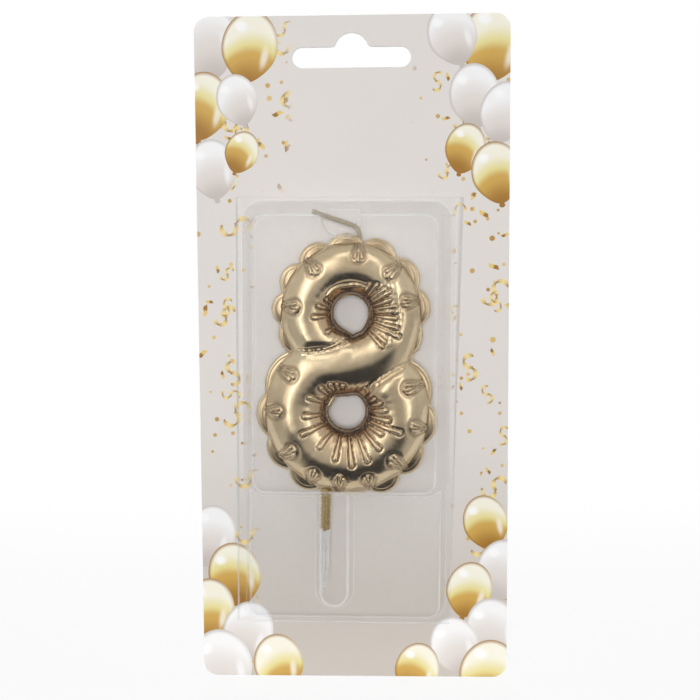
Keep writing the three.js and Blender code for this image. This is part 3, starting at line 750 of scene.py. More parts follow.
def nets(field, low, step):
    """A mesh of quads through a grid of values, with one point in each cell it crosses."""
    settle(field)
    inside = field < 0
    shape = np.array(field.shape) - 1
    total = np.zeros((*shape, 3))
    count = np.zeros(shape)
    faces = []
    grid = np.indices(field.shape)
    number = np.full(shape, -1)
    crossings = []
    for axis in range(3):
        here = [slice(None)] * 3
        there = [slice(None)] * 3
        here[axis], there[axis] = slice(None, -1), slice(1, None)
        here, there = tuple(here), tuple(there)
        i, j, k = np.nonzero(inside[here] != inside[there])
        cell = np.stack([i, j, k], 1)
        a = field[here][i, j, k]
        b = field[there][i, j, k]
        point = cell.astype(float)
        point[:, axis] += a / (a - b)
        others = [o for o in range(3) if o != axis]
        ring = []
        for shift in ((0, 0), (1, 0), (1, 1), (0, 1)):
            c = cell.copy()
            c[:, others[0]] -= shift[0]
            c[:, others[1]] -= shift[1]
            ring.append(c)
        ok = np.all([(c >= 0).all(1) & (c < shape).all(1) for c in ring], 0)
        for c in ring:
            c = c[ok]
            np.add.at(total, (c[:, 0], c[:, 1], c[:, 2]), point[ok])
            np.add.at(count, (c[:, 0], c[:, 1], c[:, 2]), 1)
        flip = (a < 0) == (axis == 1)
        crossings.append(([c[ok] for c in ring], flip[ok]))
    filled = count > 0
    number[filled] = np.arange(filled.sum())
    points = total[filled] / count[filled][:, None] * step + low
    for ring, flip in crossings:
        quad = np.stack([number[c[:, 0], c[:, 1], c[:, 2]] for c in ring], 1)
        faces.append(np.where(flip[:, None], quad[:, ::-1], quad))
    return points, np.concatenate(faces)


def candle_lowest():
    """The leaning candle's lowest point, on its foot or on a scallop beside it."""
    lean = math.radians(CANDLE_LEAN)
    levels = [z * math.cos(lean) - x * math.sin(lean) - radius for x, z, radius in LOWER_SCALLOPS]
    return min(-(LOWER["radius"] + LOWER["width"] + RIM_REACH), *levels)


def candle_place():
    """Where the lower hole's centre is, from the pocket's lower wall that the candle stands on."""
    wall = -POCKET_HEIGHT + (CANDLE_AHEAD - SEAM_HALF) * math.tan(WALL_DRAFT)
    wall += SHEET_WALL / math.cos(WALL_DRAFT)
    wall += POCKET_WIDTH / 4 * math.sin(math.radians(SHEET_LEAN))
    return np.array([CANDLE_X, -CANDLE_AHEAD, POCKET_TOP + wall + LOOSE_GAP - candle_lowest()])


def candle_to_metres(points):
    return leaned(points, CANDLE_LEAN, candle_place()) * MM


def build_skin(material):
    step = SKIN_STEP
    low, high = np.array(SKIN_BOX)
    counts = np.ceil((high - low) / step).astype(int) + 1
    axes = [low[a] + step * np.arange(counts[a]) for a in range(3)]
    x, z = np.meshgrid(axes[X], axes[Z], indexing="ij")
    plan = skin_plan(x, z)
    wide = {key: value[:, None, :] for key, value in plan.items() if key != "heights"}
    wide["heights"] = [height[:, None, :] for height in plan["heights"]]
    field = skin_field(x[:, None, :], axes[Y][None, :, None], z[:, None, :], wide)
    points, faces = nets(field, low, step)

    def value(p):
        return skin_field(p[:, X], p[:, Y], p[:, Z], skin_plan(p[:, X], p[:, Z]))

    # The net's points are drawn on to the skin itself, a little at a time.
    reach, most = 0.02, 0.12
    for _ in range(3):
        level = value(points)
        slope = [(value(points + reach * np.eye(3)[a]) - level) / reach for a in range(3)]
        slope = np.stack(slope, 1)
        move = -level[:, None] * slope / np.maximum((slope ** 2).sum(1), 0.25)[:, None]
        length = np.linalg.norm(move, axis=1)[:, None]
        points = points + move * np.minimum(1, most / np.maximum(length, 1e-9))
    plan = skin_plan(points[:, X], points[:, Z])
    face = smooth((np.abs(points[:, Y]) - 0.6) / 1.0)
    # Painted shade: how far the gold is browned in the valleys beside the tongues and in the
    # puckered lips, where shade falls.
    fold = plan["valley"] * 3.6 + np.abs(gathers(points[:, X], points[:, Z], plan)) * 0.5
    # Painted shade and painted reflection: how far the gold is browned on the slopes round both
    # holes, which lie in shade and mirror the card.
    hole_painted_shade = np.zeros(len(points))
    for loop, fade in ((LOWER, 3.2), (UPPER, 2.8)):
        away = np.hypot(points[:, X] - loop["centre"][0], points[:, Z] - loop["centre"][1])
        away = np.clip(away - loop["radius"] + loop["width"], 0, None)
        hole_painted_shade = np.maximum(hole_painted_shade, np.exp(-away / fade))
    return make_piece("candle_eight", candle_to_metres(points), faces, material,
                      {"fold": np.clip(fold, 0, 1) * face, "hole_painted_shade": hole_painted_shade * face})


# ---------------------------------------------------------------------------
# The seam's scallops
# ---------------------------------------------------------------------------

SCALLOP_SIZES = {"Thickness": 2 * SCALLOP_HALF, "Blunt Edge": 0.16, "Groove Depth": 0.30,
                 "Outer Groove": 0.90, "Inner Groove": 0.80, "Segments": 72, "Rings": 40}


def scallop_tree(material):
    """Sets a flat, grooved pillow on every point, as wide as the point's reach says."""
    tree, given = shape_tree("seam_scallops", SCALLOP_SIZES)
    ball = tree.get("Mesh", "GeometryNodeMeshUVSphere", Segments=given["Segments"],
                    Rings=given["Rings"], Radius=1.0)
    facing = tree.add("GeometryNodeTransform", Geometry=ball, Rotation=(math.pi / 2, 0, 0))
    x, y, z = tree.split(tree.add("GeometryNodeInputPosition"))
    radius = tree.length(x, z)
    high = abs(y)
    blunt = given["Blunt Edge"] * tree.span(high, 0.0, 0.12)
    high = high * (1.0 - given["Blunt Edge"]) + blunt
    for at, half, share in (("Outer Groove", 0.028, 1.0), ("Inner Groove", 0.05, 0.45)):
        off = abs(radius - given[at])
        high = high - tree.span(off, half, 0.0) * (given["Groove Depth"] * share)
    pillow = tree.add("GeometryNodeSetPosition", Geometry=facing,
                      Position=tree.point(x, high * tree.maths("SIGN", y), z))
    # Painted shade: a pillow is browned from just inside its rim inwards, towards the tube it
    # meets.
    pillow = tree.add("GeometryNodeStoreNamedAttribute", {"data_type": "FLOAT", "domain": "POINT"},
                      Geometry=pillow, Name="fold", Value=tree.span(radius, 0.94, 0.82, 0.0, 0.48))
    points = tree.add("GeometryNodeMeshToPoints", Mesh=given["Geometry"])
    wide = tree.get("Attribute", "GeometryNodeInputNamedAttribute", {"data_type": "FLOAT"},
                    Name="reach")
    placed = tree.add("GeometryNodeInstanceOnPoints", Points=points, Instance=pillow,
                      Scale=tree.point(wide, given["Thickness"] / 2.0, wide))
    end_tree(tree, placed, material, CANDLE_LEAN, candle_place())
    return tree


def build_scallops(material):
    middles = bpy.data.meshes.new("scallop_middles")
    middles.from_pydata([(x, 0, z) for x, z, _ in SCALLOPS], [], [])
    reach = middles.attributes.new("reach", "FLOAT", "POINT")
    reach.data.foreach_set("value", [radius for _, _, radius in SCALLOPS])
    return grow("seam_scallops", middles, scallop_tree(material), SCALLOP_SIZES)


def gold_coat():
    """Champagne-gold metallic coat: satin, with painted shade and painted reflection browning it in
    the folds and beside the holes.
    """
    material, tree, surface = new_material("champagne_gold_coat")
    place = in_millimetres(tree)
    fold, hole = [tree.get("Fac", "ShaderNodeAttribute", {"attribute_name": name})
                  for name in ("fold", "hole_painted_shade")]
    drift = tree.span(tree.noise(place, 0.12, 3), 0.35, 0.65)
    gold = tree.blend(drift, colour(199, 179, 145), colour(208, 190, 156))
    # Painted shade and painted reflection: browner beside the holes, whose slopes lie in shade and
    # mirror the card.
    gold = tree.blend(hole * 0.85, gold, colour(164, 126, 88))
    # Painted shade: dark brown in the fold valleys, the puckered lips and the scallops' inner
    # parts.
    gold = tree.blend(fold * 0.85, gold, colour(108, 78, 50))
    speckle = tree.span(tree.noise(place, 1.1, 3), 0.3, 0.75, 0.15, 0.24)
    peel = tree.bump(tree.noise(place, 0.55, 2), 0.00003, 0.35)
    shader = tree.add("ShaderNodeBsdfPrincipled", Base_Color=gold, Metallic=1.0,
                      Roughness=speckle + fold * 0.06, Normal=peel)
    tree.put(surface, shader)
    return material


# ---------------------------------------------------------------------------
# The formed clear sheet
# ---------------------------------------------------------------------------
# Millimetres in the sheet's own frame: x from its middle, z from the pocket's top edge,
# depth towards the front.

SHEET_SIZES = {
    "Draft": WALL_DRAFT, "Corner Taper": 0.4, "Flange": 0.4, "Waviness": 0.10,
    "Pocket Width": POCKET_WIDTH, "Pocket Bottom": -POCKET_HEIGHT, "Pocket Top": 0.0,
    "Pocket Depth": 15.94, "Pocket Corner": 5.5, "Pocket Edge": 1.6,
    "Tray Width": 55.8, "Tray Bottom": -POCKET_HEIGHT - TRAY_HEIGHT, "Tray Top": -72.8,
    "Tray Depth": 6.5, "Tray Corner": 4.5, "Tray Edge": 1.4,
    "Channel Middle": -2.8, "Channel Width": 10.6 + 13.0 * math.tan(WALL_DRAFT),
    "Channel Bottom": -112.6, "Channel Top": -68.3, "Channel Depth": 10.8,
    "Channel Corner": 5.3 + 6.5 * math.tan(WALL_DRAFT), "Channel Edge": 2.4, "Channel Taper": 1.0,
    "Notch Middle": -0.8, "Notch Width": 9.0, "Notch Bottom": -9.6, "Notch Floor": 10.5,
    "Notch Corner": 3.2, "Notch Draft": math.radians(8), "Side Flare": 2.6,
}
SHEET_THICKNESS = 0.36         # a little under the solid's, to stay inside it
SHEET_MARGIN = 1.8             # its flat edge beyond the pocket's sides
SHEET_ROWS = (-117.2, 1.0)     # its lower and its upper edge
# The grid is fine where the sheet bends: down its length, across its channel, at its sides.
SHEET_STEP, SHEET_STEP_QUICK = 0.26, 0.45
COARSE_ACROSS, COARSE_DOWN = 2.2, 2.6
FINE_ROWS = [(-116.2, -103.5), (-86.0, -74.0), (-14.5, -8.4), (-7.6, 0.6)]
FINE_CHANNEL = (-10.4, 6.6)
FINE_SIDE = 6.8


def bay_height():
    """The height of one formed bay over the card at a place: drafted walls, rounded edges."""
    labels = ("X", "Z", "Middle", "Width", "Bottom", "Top", "Depth", "Corner", "Edge", "Draft",
              "Taper")
    tree, given = new_group("bay_height", dict.fromkeys(labels, "Float"), {"Height": "Float"},
                            "GeometryNodeTree")
    x, z, middle, width, bottom, top, depth, corner, edge, draft, taper = [
        given[label] for label in labels]
    u = width * 0.5 - abs(x - middle)
    v = tree.least(z - bottom, top - z)
    keep = 1.0 - taper
    # Each contour's corner has the radius corner - taper * s and its middle at corner + keep * s.
    a, b = u - corner, v - corner
    double = keep * keep * 2.0 - taper * taper
    half = corner * taper - keep * (a + b)
    rest = a * a + b * b - corner * corner
    root = tree.maths("SQRT", tree.most(half * half - double * rest, 0.0))
    round_in = (root - half) / double
    near, far = tree.least(u, v), tree.most(u, v)
    inward = tree.between(far < corner + keep * near, near, round_in)
    # Along a section: straight up the wall, round the edge, flat.
    slope = tree.maths("TANGENT", draft)
    tangent = edge * tree.maths("TANGENT", (math.pi / 2 - draft) * 0.5)
    foot = depth * slope
    start = foot - tangent * tree.maths("SINE", draft)
    short = tree.most(foot + tangent - inward, 0.0)
    arc = depth - edge + tree.maths("SQRT", tree.most(edge * edge - short * short, 0.0))
    tree.give(tree.between(inward < start, arc, inward / slope))
    return tree.group


def sheet_tree(material):
    """Forms a flat grid into the pocket, tray, channel and notch."""
    tree, given = shape_tree("formed_sheet", SHEET_SIZES)
    x, _, z = tree.split(tree.add("GeometryNodeInputPosition"))
    bay = bay_height()

    def bay_of(name, middle, taper):
        own = {label: given[f"{name} {label}"]
               for label in ("Width", "Bottom", "Top", "Depth", "Corner", "Edge")}
        return tree.get("Height", "GeometryNodeGroup", {"node_tree": bay}, X=x, Z=z, Middle=middle,
                        Draft=given["Draft"], Taper=taper, **own)

    height = bay_of("Pocket", 0.0, given["Corner Taper"])
    # The notch: a low floor over the wick, with its own walls and round lower corners
    aside = abs(x - given["Notch Middle"]) - given["Notch Width"] * 0.5
    under = given["Notch Bottom"] - z
    over = [tree.most(far + given["Notch Corner"], 0.0) for far in (aside, under)]
    away = tree.most(tree.length(*over) - given["Notch Corner"], 0.0)
    notch = given["Notch Floor"] + away / tree.maths("TANGENT", given["Notch Draft"])
    height = tree.maths("SMOOTH_MIN", height, notch, 0.9)
    tray = bay_of("Tray", 0.0, given["Corner Taper"])
    height = tree.maths("SMOOTH_MAX", height, tray, 0.7)
    channel = bay_of("Channel", given["Channel Middle"], given["Channel Taper"])
    height = tree.maths("SMOOTH_MAX", height, channel, 0.7)
    height = tree.maths("SMOOTH_MAX", height, given["Flange"], 0.4)
    wave = (tree.noise(tree.add("GeometryNodeInputPosition"), 0.07, 1) - 0.5) * given["Waviness"]
    wave = wave * tree.span(height, 1.5, 4.5)
    # The right edge of the flange stands out further at the top than at the bottom.
    share = tree.span(z, given["Tray Bottom"], given["Pocket Top"], 0.0, 1.0, "LINEAR") - 0.5
    beyond = x - (given["Pocket Width"] * 0.5 + 0.5)
    flare = given["Side Flare"] * share * tree.span(beyond, 0.0, 1.3, 0.0, 1.0, "LINEAR")
    moved = tree.add("GeometryNodeSetPosition", Geometry=given["Geometry"],
                     Position=tree.point(x + flare, (height + wave) * -1.0, z))
    half_height = (POCKET_HEIGHT + TRAY_HEIGHT) / 2
    place = np.array([SHEET_X + half_height * math.sin(math.radians(SHEET_LEAN)), 0, POCKET_TOP])
    end_tree(tree, moved, material, SHEET_LEAN, place)
    return tree


def crowded(spans, low, high, fine, coarse):
    """Grid lines from low to high, close together inside the spans."""
    lines = [low]
    while lines[-1] < high:
        here = lines[-1]
        step = fine
        if not any(a - 0.01 <= here < b for a, b in spans):
            ahead = [a - here for a, _ in spans if a > here + 1e-6]
            step = min([coarse, *ahead])
        lines.append(min(here + step, high))
    return np.array(lines)


def build_sheet(material):
    fine = SHEET_STEP
    half = POCKET_WIDTH / 2
    sides = [(-half - 0.4, -half + FINE_SIDE), FINE_CHANNEL, (half - FINE_SIDE, half + 0.4)]
    columns = crowded(sides, -half - SHEET_MARGIN, half + SHEET_MARGIN, fine, COARSE_ACROSS)
    rows = crowded(FINE_ROWS, *SHEET_ROWS, fine, COARSE_DOWN)
    wide, tall = len(columns), len(rows)
    i, j = np.meshgrid(np.arange(wide - 1), np.arange(tall - 1), indexing="ij")
    a = (i * tall + j).ravel()
    grid = bpy.data.meshes.new("flat_sheet")
    grid.from_pydata([(x, 0, z) for x in columns for z in rows], [],
                     np.stack([a, a + tall, a + tall + 1, a + 1], 1).tolist())
    piece = grow("formed_sheet", grid, sheet_tree(material), SHEET_SIZES)
    shell = piece.modifiers.new("thickness", "SOLIDIFY")
    shell.thickness = SHEET_THICKNESS * MM
    shell.offset = -1
    shell.use_rim = True
    seen = bpy.context.evaluated_depsgraph_get()
    thick = bpy.data.meshes.new_from_object(piece.evaluated_get(seen), depsgraph=seen)
    piece.modifiers.clear()
    thick.name = piece.name
    piece.data = thick
    return piece


def clear_sheet():
    """Thin clear plastic: it mirrors at a slant, and a painted highlight, a white layer, draws a
    bright line round its bends.
    """
    material, tree, surface = new_material("clear_formed_sheet")
    place = in_millimetres(tree)
    _, slant, _ = tree.split(tree.get("Normal", "ShaderNodeTexCoord"))
    # Painted highlight mask: 1 where a wall's slope turns through about 45 degrees, on the rounded
    # edges.
    bend = tree.span(abs(abs(slant) - 0.78), 0.17, 0.0)
    flow = tree.bump(tree.noise(place, 0.25, 2), 0.0001, 0.3)
    clear = tree.add("ShaderNodeBsdfTransparent", Color=(0.993, 0.994, 0.996, 1))
    gloss = tree.add("ShaderNodeBsdfAnisotropic", Color=(1, 1, 1, 1), Roughness=0.06, Normal=flow)
    edge_on = tree.get("Facing", "ShaderNodeLayerWeight", Blend=0.5, Normal=flow)
    share = tree.maths("ADD", 0.015 + edge_on ** 5.0 * 0.5, bend * 0.12, clamp=True)
    body = tree.mix_shaders(share, clear, gloss)
    # The white, matt layer mixed in at the bends is a painted highlight; the faint smear from noise
    # is the plastic's own milkiness.
    white = tree.add("ShaderNodeBsdfPrincipled", Base_Color=(0.95, 0.96, 0.97, 1), Roughness=0.25)
    smear = tree.span(tree.noise(place, 0.6, 3), 0.5, 0.8, 0.0, 0.015)
    smear_and_painted_highlight = tree.maths("ADD", bend * 0.14, smear, clamp=True)
    tree.put(surface, tree.mix_shaders(smear_and_painted_highlight, body, white))
    return material


# ---------------------------------------------------------------------------
# Wick and pick
# ---------------------------------------------------------------------------

WICK_EXIT = 45.6               # where the wick leaves the wax
WICK_X = 2.15


def through(points, per_span=14):
    """A smooth line through points, evenly weighted by their distances."""
    p = np.asarray(points, dtype=float)
    p = np.vstack([2 * p[0] - p[1], p, 2 * p[-1] - p[-2]])
    line = []
    for i in range(1, len(p) - 2):
        q = p[i - 1:i + 3]
        steps = np.linalg.norm(np.diff(q, axis=0), axis=1) ** 0.5
        knots = np.concatenate([[0], np.cumsum(steps)])
        for t in np.linspace(knots[1], knots[2], per_span, endpoint=False):
            a = [mix(q[k], q[k + 1], (t - knots[k]) / (knots[k + 1] - knots[k])) for k in range(3)]
            b = [mix(a[k], a[k + 1], (t - knots[k]) / (knots[k + 2] - knots[k])) for k in range(2)]
            line.append(mix(b[0], b[1], (t - knots[1]) / (knots[2] - knots[1])))
    line.append(p[-2])
    return np.array(line)


def wick_line():
    """Up out of the wax, round one bend, and out to the left and the back."""
    radius = 3.3
    bend = [(-radius * (1 - math.cos(a)), 0, 1 + radius * math.sin(a))
            for a in (0, math.pi / 4, math.pi / 2)]
    x, _, z = bend[-1]
    places = [(0, 0, -6), (0, 0, -3), *bend, (x - 4.8, 1.9, z + 1.6), (x - 9.6, 3.8, z + 3.2)]
    return through(places) + np.array([WICK_X, 0, WICK_EXIT])


WICK_SIZES = {"Strands": 3, "Strand Radius": 0.34, "Twist Radius": 0.30, "Turns": 9.0,
              "Fibres": 26, "Fibre Radius": 0.06, "Fray": 0.85, "Fray Start": 0.80}


def wick_tree(material):
    """Twists strands round a line, and frays fibres out of its last part."""
    tree, given = shape_tree("twisted_wick", WICK_SIZES)
    line = tree.add("GeometryNodeResampleCurve", Curve=given["Geometry"], Count=150)
    along = tree.get("Factor", "GeometryNodeSplineParameter")
    side = tree.get("Normal", "GeometryNodeInputNormal")
    other = tree.vector("CROSS_PRODUCT", tree.add("GeometryNodeInputTangent"), side)

    def picked(index, low, high, seed):
        node = tree.add("FunctionNodeRandomValue", {"data_type": "FLOAT"}, Seed=seed, ID=index)
        floats = [s for s in node.inputs if s.type == "VALUE"]
        floats[0].default_value, floats[1].default_value = low, high
        return Value(tree, [s for s in node.outputs if s.type == "VALUE"][0])

    def wound(amount, turns, radius, thickness, left_out=None):
        """Thin rods wound round the line, as far from it as radius says."""
        copies = tree.add("GeometryNodeDuplicateElements", {"domain": "SPLINE"}, Geometry=line,
                          Amount=amount).outputs
        index = Value(tree, copies["Duplicate Index"])
        angle = index * (2 * math.pi) / amount + along * turns
        reach = radius(index)
        aside = [tree.scaled(way, tree.maths(part, angle) * reach)
                 for way, part in ((side, "COSINE"), (other, "SINE"))]
        moved = tree.add("GeometryNodeSetPosition", Geometry=copies["Geometry"],
                         Offset=tree.vector("ADD", *aside))
        if left_out is not None:
            moved = tree.add("GeometryNodeDeleteGeometry", {"domain": "POINT"}, Geometry=moved,
                             Selection=left_out(index))
        ring = tree.get("Curve", "GeometryNodeCurvePrimitiveCircle", Resolution=7, Radius=thickness)
        return tree.add("GeometryNodeCurveToMesh", Curve=moved, Profile_Curve=ring, Fill_Caps=True)

    turns = given["Turns"] * (2 * math.pi)
    strands = wound(given["Strands"], turns, lambda index: given["Twist Radius"],
                    given["Strand Radius"])

    def fray(index):
        opened = tree.span(along, given["Fray Start"], 1.0, 0.35, 1.0)
        return given["Fray"] * opened * picked(index, 0.2, 1.0, seed=4)

    def too_far(index):
        start = given["Fray Start"] + picked(index, -0.1, 0.08, seed=9)
        return tree.most(along < start, along > picked(index, 0.93, 1.0, seed=6))

    fibres = wound(given["Fibres"], 2.2, fray, given["Fibre Radius"], too_far)
    joined = tree.add("GeometryNodeJoinGeometry")
    for part in (fibres, strands):
        tree.put(joined.inputs["Geometry"], part)
    end_tree(tree, joined, material, CANDLE_LEAN, candle_place())
    return tree


def build_wick(material):
    curve = bpy.data.curves.new("wick_line", "CURVE")
    curve.dimensions = "3D"
    line = wick_line()
    spline = curve.splines.new("POLY")
    spline.points.add(len(line) - 1)
    for point, place in zip(spline.points, line):
        point.co = (*place, 1)
    return grow("wick_strands", curve, wick_tree(material), WICK_SIZES)


def wick_thread():
    """Grey-white waxed cotton, streaked along its strands."""
    material, tree, surface = new_material("waxed_cotton_thread")
    stretched = tree.add("ShaderNodeMapping", Vector=in_millimetres(tree), Scale=(3, 6, 6))
    streak = tree.span(tree.noise(stretched, 1.6, 3), 0.3, 0.7)
    thread = tree.blend(streak, colour(128, 112, 88), colour(206, 196, 172))
    shader = tree.add("ShaderNodeBsdfPrincipled", Base_Color=thread, Roughness=0.55,
                      Normal=tree.bump(streak, 0.00005, 0.6), Sheen_Weight=0.25)
    tree.put(surface, shader)
    return material


PICK_SIZES = {"Length": 34.5, "Fin Reach": 1.4, "Fin Half Thickness": 0.45, "Fillet": 0.35,
              "Point Length": 5.0, "Point Size": 0.25, "Middle": -5.2, "Top": -14.6, "Sides": 96}
PICK_GOLD_END = -133.5         # where the pick's gold coat ends, below the card's slot


def pick_tree(material):
    """Draws a rod in to a cross of two rounded fins, with a point at its lower end."""
    tree, given = shape_tree("cross_pick", PICK_SIZES)
    length = given["Length"]
    rod = tree.get("Mesh", "GeometryNodeMeshCylinder", Vertices=given["Sides"], Side_Segments=80,
                   Fill_Segments=3, Radius=1.0, Depth=length)
    x, y, z = tree.split(tree.add("GeometryNodeInputPosition"))
    away = tree.most(tree.length(x, y), 0.001)
    along_x, along_y = abs(x / away), abs(y / away)
    near = tree.most(along_x, along_y)
    far = tree.most(tree.least(along_x, along_y), 0.01)
    reach = tree.maths("SMOOTH_MIN", given["Fin Reach"] / near, given["Fin Half Thickness"] / far,
                       given["Fillet"])
    down = (z + length * 0.5) / given["Point Length"]
    drawn = tree.least(tree.most(down, 0.0), 1.0) ** 0.7
    size = reach * (given["Point Size"] + drawn * (1.0 - given["Point Size"]))
    fins = tree.point(given["Middle"] + x * size, y * size, z + (given["Top"] - length * 0.5))
    shaped = tree.add("GeometryNodeSetPosition", Geometry=rod, Position=fins)
    end_tree(tree, shaped, material, CANDLE_LEAN, candle_place())
    return tree


def build_pick(material):
    return grow("candle_pick", bpy.data.meshes.new("pick_start"), pick_tree(material), PICK_SIZES)


def pick_plastic():
    """Frosted clear plastic, with the candle's gold coat on its upper part."""
    material, tree, surface = new_material("frosted_pick_plastic")
    place = in_millimetres(tree)
    _, _, height = tree.split(place)
    ragged = height + (tree.noise(place, 1.2, 2) - 0.5) * 1.6
    coat = tree.span(ragged, PICK_GOLD_END - 0.25, PICK_GOLD_END + 0.25)
    cloud = tree.span(tree.noise(place, 0.5, 3), 0.3, 0.7)
    plastic = tree.blend(cloud, colour(226, 224, 220), colour(240, 239, 237))
    paint = tree.blend(coat, plastic, colour(196, 172, 124))
    rough = tree.span(tree.noise(place, 2.5, 3), 0.3, 0.7, 0.22, 0.36)
    shader = tree.add("ShaderNodeBsdfPrincipled", Base_Color=paint, Metallic=coat, Roughness=rough,
                      Normal=tree.bump(tree.noise(place, 3.0, 2), 0.00003, 0.4))
    clear = tree.add("ShaderNodeBsdfTransparent", Color=(0.96, 0.96, 0.96, 1))
    tree.put(surface, tree.mix_shaders(tree.between(coat, 0.42, 1.0), clear, shader))
    return material


# ---------------------------------------------------------------------------
# The printed card
# ---------------------------------------------------------------------------
# Blender runs these nodes in the order in which they are made, and has room for few values at
# a time. So each node here is made right after what it needs, and the balloons are a chain.

def balloon_outline():
    """Where a place lies on a balloon, as across, up and kind, or what was found before it."""
    tree, given = new_group("balloon_outline", {
        "Place": "Vector", "Middle": "Vector", "Half Size": "Vector", "Tilt": "Float",
        "Kind": "Float", "Before": "Vector"}, {"Found": "Vector"})
    turned = tree.add("ShaderNodeVectorRotate", {"rotation_type": "Z_AXIS"}, Angle=given["Tilt"],
                      Vector=tree.vector("SUBTRACT", given["Place"], given["Middle"]))
    across, up, _ = tree.split(tree.vector("DIVIDE", turned, given["Half Size"]))
    low = tree.most(up * -1.0, 0.0)
    wide = across * (1.0 + low ** 2.5 * 0.42)
    body = wide * wide + up * up
    knot_x, knot_z = across / 0.12, (up + 1.05) / 0.08
    knot = knot_x * knot_x + knot_z * knot_z
    inside = tree.least(body, knot) < 1.0
    here = tree.point(wide, up, given["Kind"])
    tree.give(tree.blend(inside, given["Before"], here, "VECTOR"))
    return tree.group


def shine(tree, found, under):
    """Printed shiny balloons: pale above a soft horizon, deeper below it, with light streaks."""
    u, w, kind = tree.split(found)
    golden = kind > 1.5
    light = tree.blend(golden, colour(246, 245, 245), colour(246, 242, 226))
    glow = tree.blend(golden, colour(232, 228, 225), colour(230, 218, 150))
    body = tree.blend(golden, colour(226, 219, 214), colour(206, 166, 84))
    deep = tree.blend(golden, colour(198, 190, 184), colour(158, 112, 42))

    def far(across, up, wide, tall):
        """How far a place is from a spot's middle, 1 at the spot's edge."""
        return tree.length((u - across) / wide, (w - up) / tall)

    sway = tree.maths("FRACT", kind) - 0.25
    level = w + u * u * 0.42 - u * (sway * 1.2) + sway * 0.5
    upper = tree.blend(tree.span(level, 0.10, 0.62), glow, light)
    lower = tree.blend(tree.span(level, -0.05, -0.90), body, deep)
    shade = tree.blend(tree.span(level, 0.20, -0.12), upper, lower)
    streak = tree.span(far(0.58, -0.22, 0.20, 0.46), 1.0, 0.2, 0.0, 0.75)
    shade = tree.blend(streak, shade, light)
    spark = tree.span(far(-0.42, 0.52, 0.30, 0.20), 1.0, 0.3, 0.0, 0.85)
    shade = tree.blend(spark, shade, (1, 1, 1, 1))
    turned_away = tree.span(w - u, -1.2, 1.0, 0.35, 0.9)
    rim = tree.span(tree.length(u, w), 0.86, 1.0) * turned_away
    shade = tree.blend(rim, shade, deep)
    shade = tree.blend(tree.span(w, -0.97, -1.0), shade, deep)
    return tree.blend(kind > 0.5, under, shade)


def streamer_print():
    """Scattered curled streamers, flakes and dots, one at most in each cell of the card."""
    tree, given = new_group("printed_streamers", {
        "Place": "Vector", "Cell": "Float", "Shift": "Vector", "Share": "Float",
        "Where": "Float", "Under": "Color"}, {"Colour": "Color"})
    cell = tree.point(given["Cell"], given["Cell"], 1.0)
    scaled = tree.vector("ADD", tree.vector("DIVIDE", given["Place"], cell), given["Shift"])

    def scattered(density):
        """The place in the nearest cell, turned at random, and three random values."""
        cells = tree.add("ShaderNodeTexVoronoi", {"voronoi_dimensions": "2D", "feature": "F1"},
                         Vector=scaled, Scale=density, Randomness=0.7).outputs
        chances = tree.add("ShaderNodeSeparateColor", Color=cells["Color"]).outputs
        red, green, blue = [Value(tree, socket) for socket in chances]
        turn = red * 12.5
        off = tree.vector("SUBTRACT", scaled, cells["Position"])
        turned = tree.add("ShaderNodeVectorRotate", {"rotation_type": "Z_AXIS"}, Angle=turn,
                          Vector=off)
        u, w, _ = tree.split(turned)
        return u, w, red, green, blue

    def kept(chance, share):
        return (chance < share) * given["Where"]

    # Streamers: short arcs that turn their bright side to the light
    u, w, _, green, blue = scattered(1.0)
    bow = tree.between(green, 0.08, 0.13)
    above = abs(w) - bow
    off = abs(tree.length(u, above) - bow)
    side = u * tree.maths("SIGN", w) / bow
    turn = tree.maths("ARCTAN2", above, u)
    twist = abs(tree.maths("SINE", turn * 1.5))
    thick = tree.between(twist, 0.010, 0.038)
    curl = tree.span(off - thick, 0.006, -0.004) * tree.span(side, 0.55, 0.45)
    gold = tree.blend(twist, colour(146, 104, 38), colour(238, 216, 152))
    under = tree.blend(curl * kept(blue, given["Share"]), given["Under"], gold)
    # Flakes: small slanted oblongs, folded down their middle
    u, w, _, _, blue = scattered(2.1)
    long_side, short_side = abs(u + w * 0.6) / 0.08, abs(w) / 0.032
    flake = tree.span(tree.most(long_side, short_side), 1.06, 0.94)
    two_tone = tree.blend(tree.span(u, -0.02, 0.02), colour(228, 200, 120), colour(156, 112, 44))
    under = tree.blend(flake * kept(blue, given["Share"] * 0.2), under, two_tone)
    # Dots
    u, w, red, green, blue = scattered(3.4)
    distance = tree.length(u, w)
    dot = tree.span(distance - tree.between(red, 0.016, 0.045), 0.008, -0.004)
    speck = tree.blend(green, colour(176, 134, 62), colour(226, 198, 134))
    tree.give(tree.blend(dot * kept(blue, given["Share"] * 0.3), under, speck))
    return tree.group


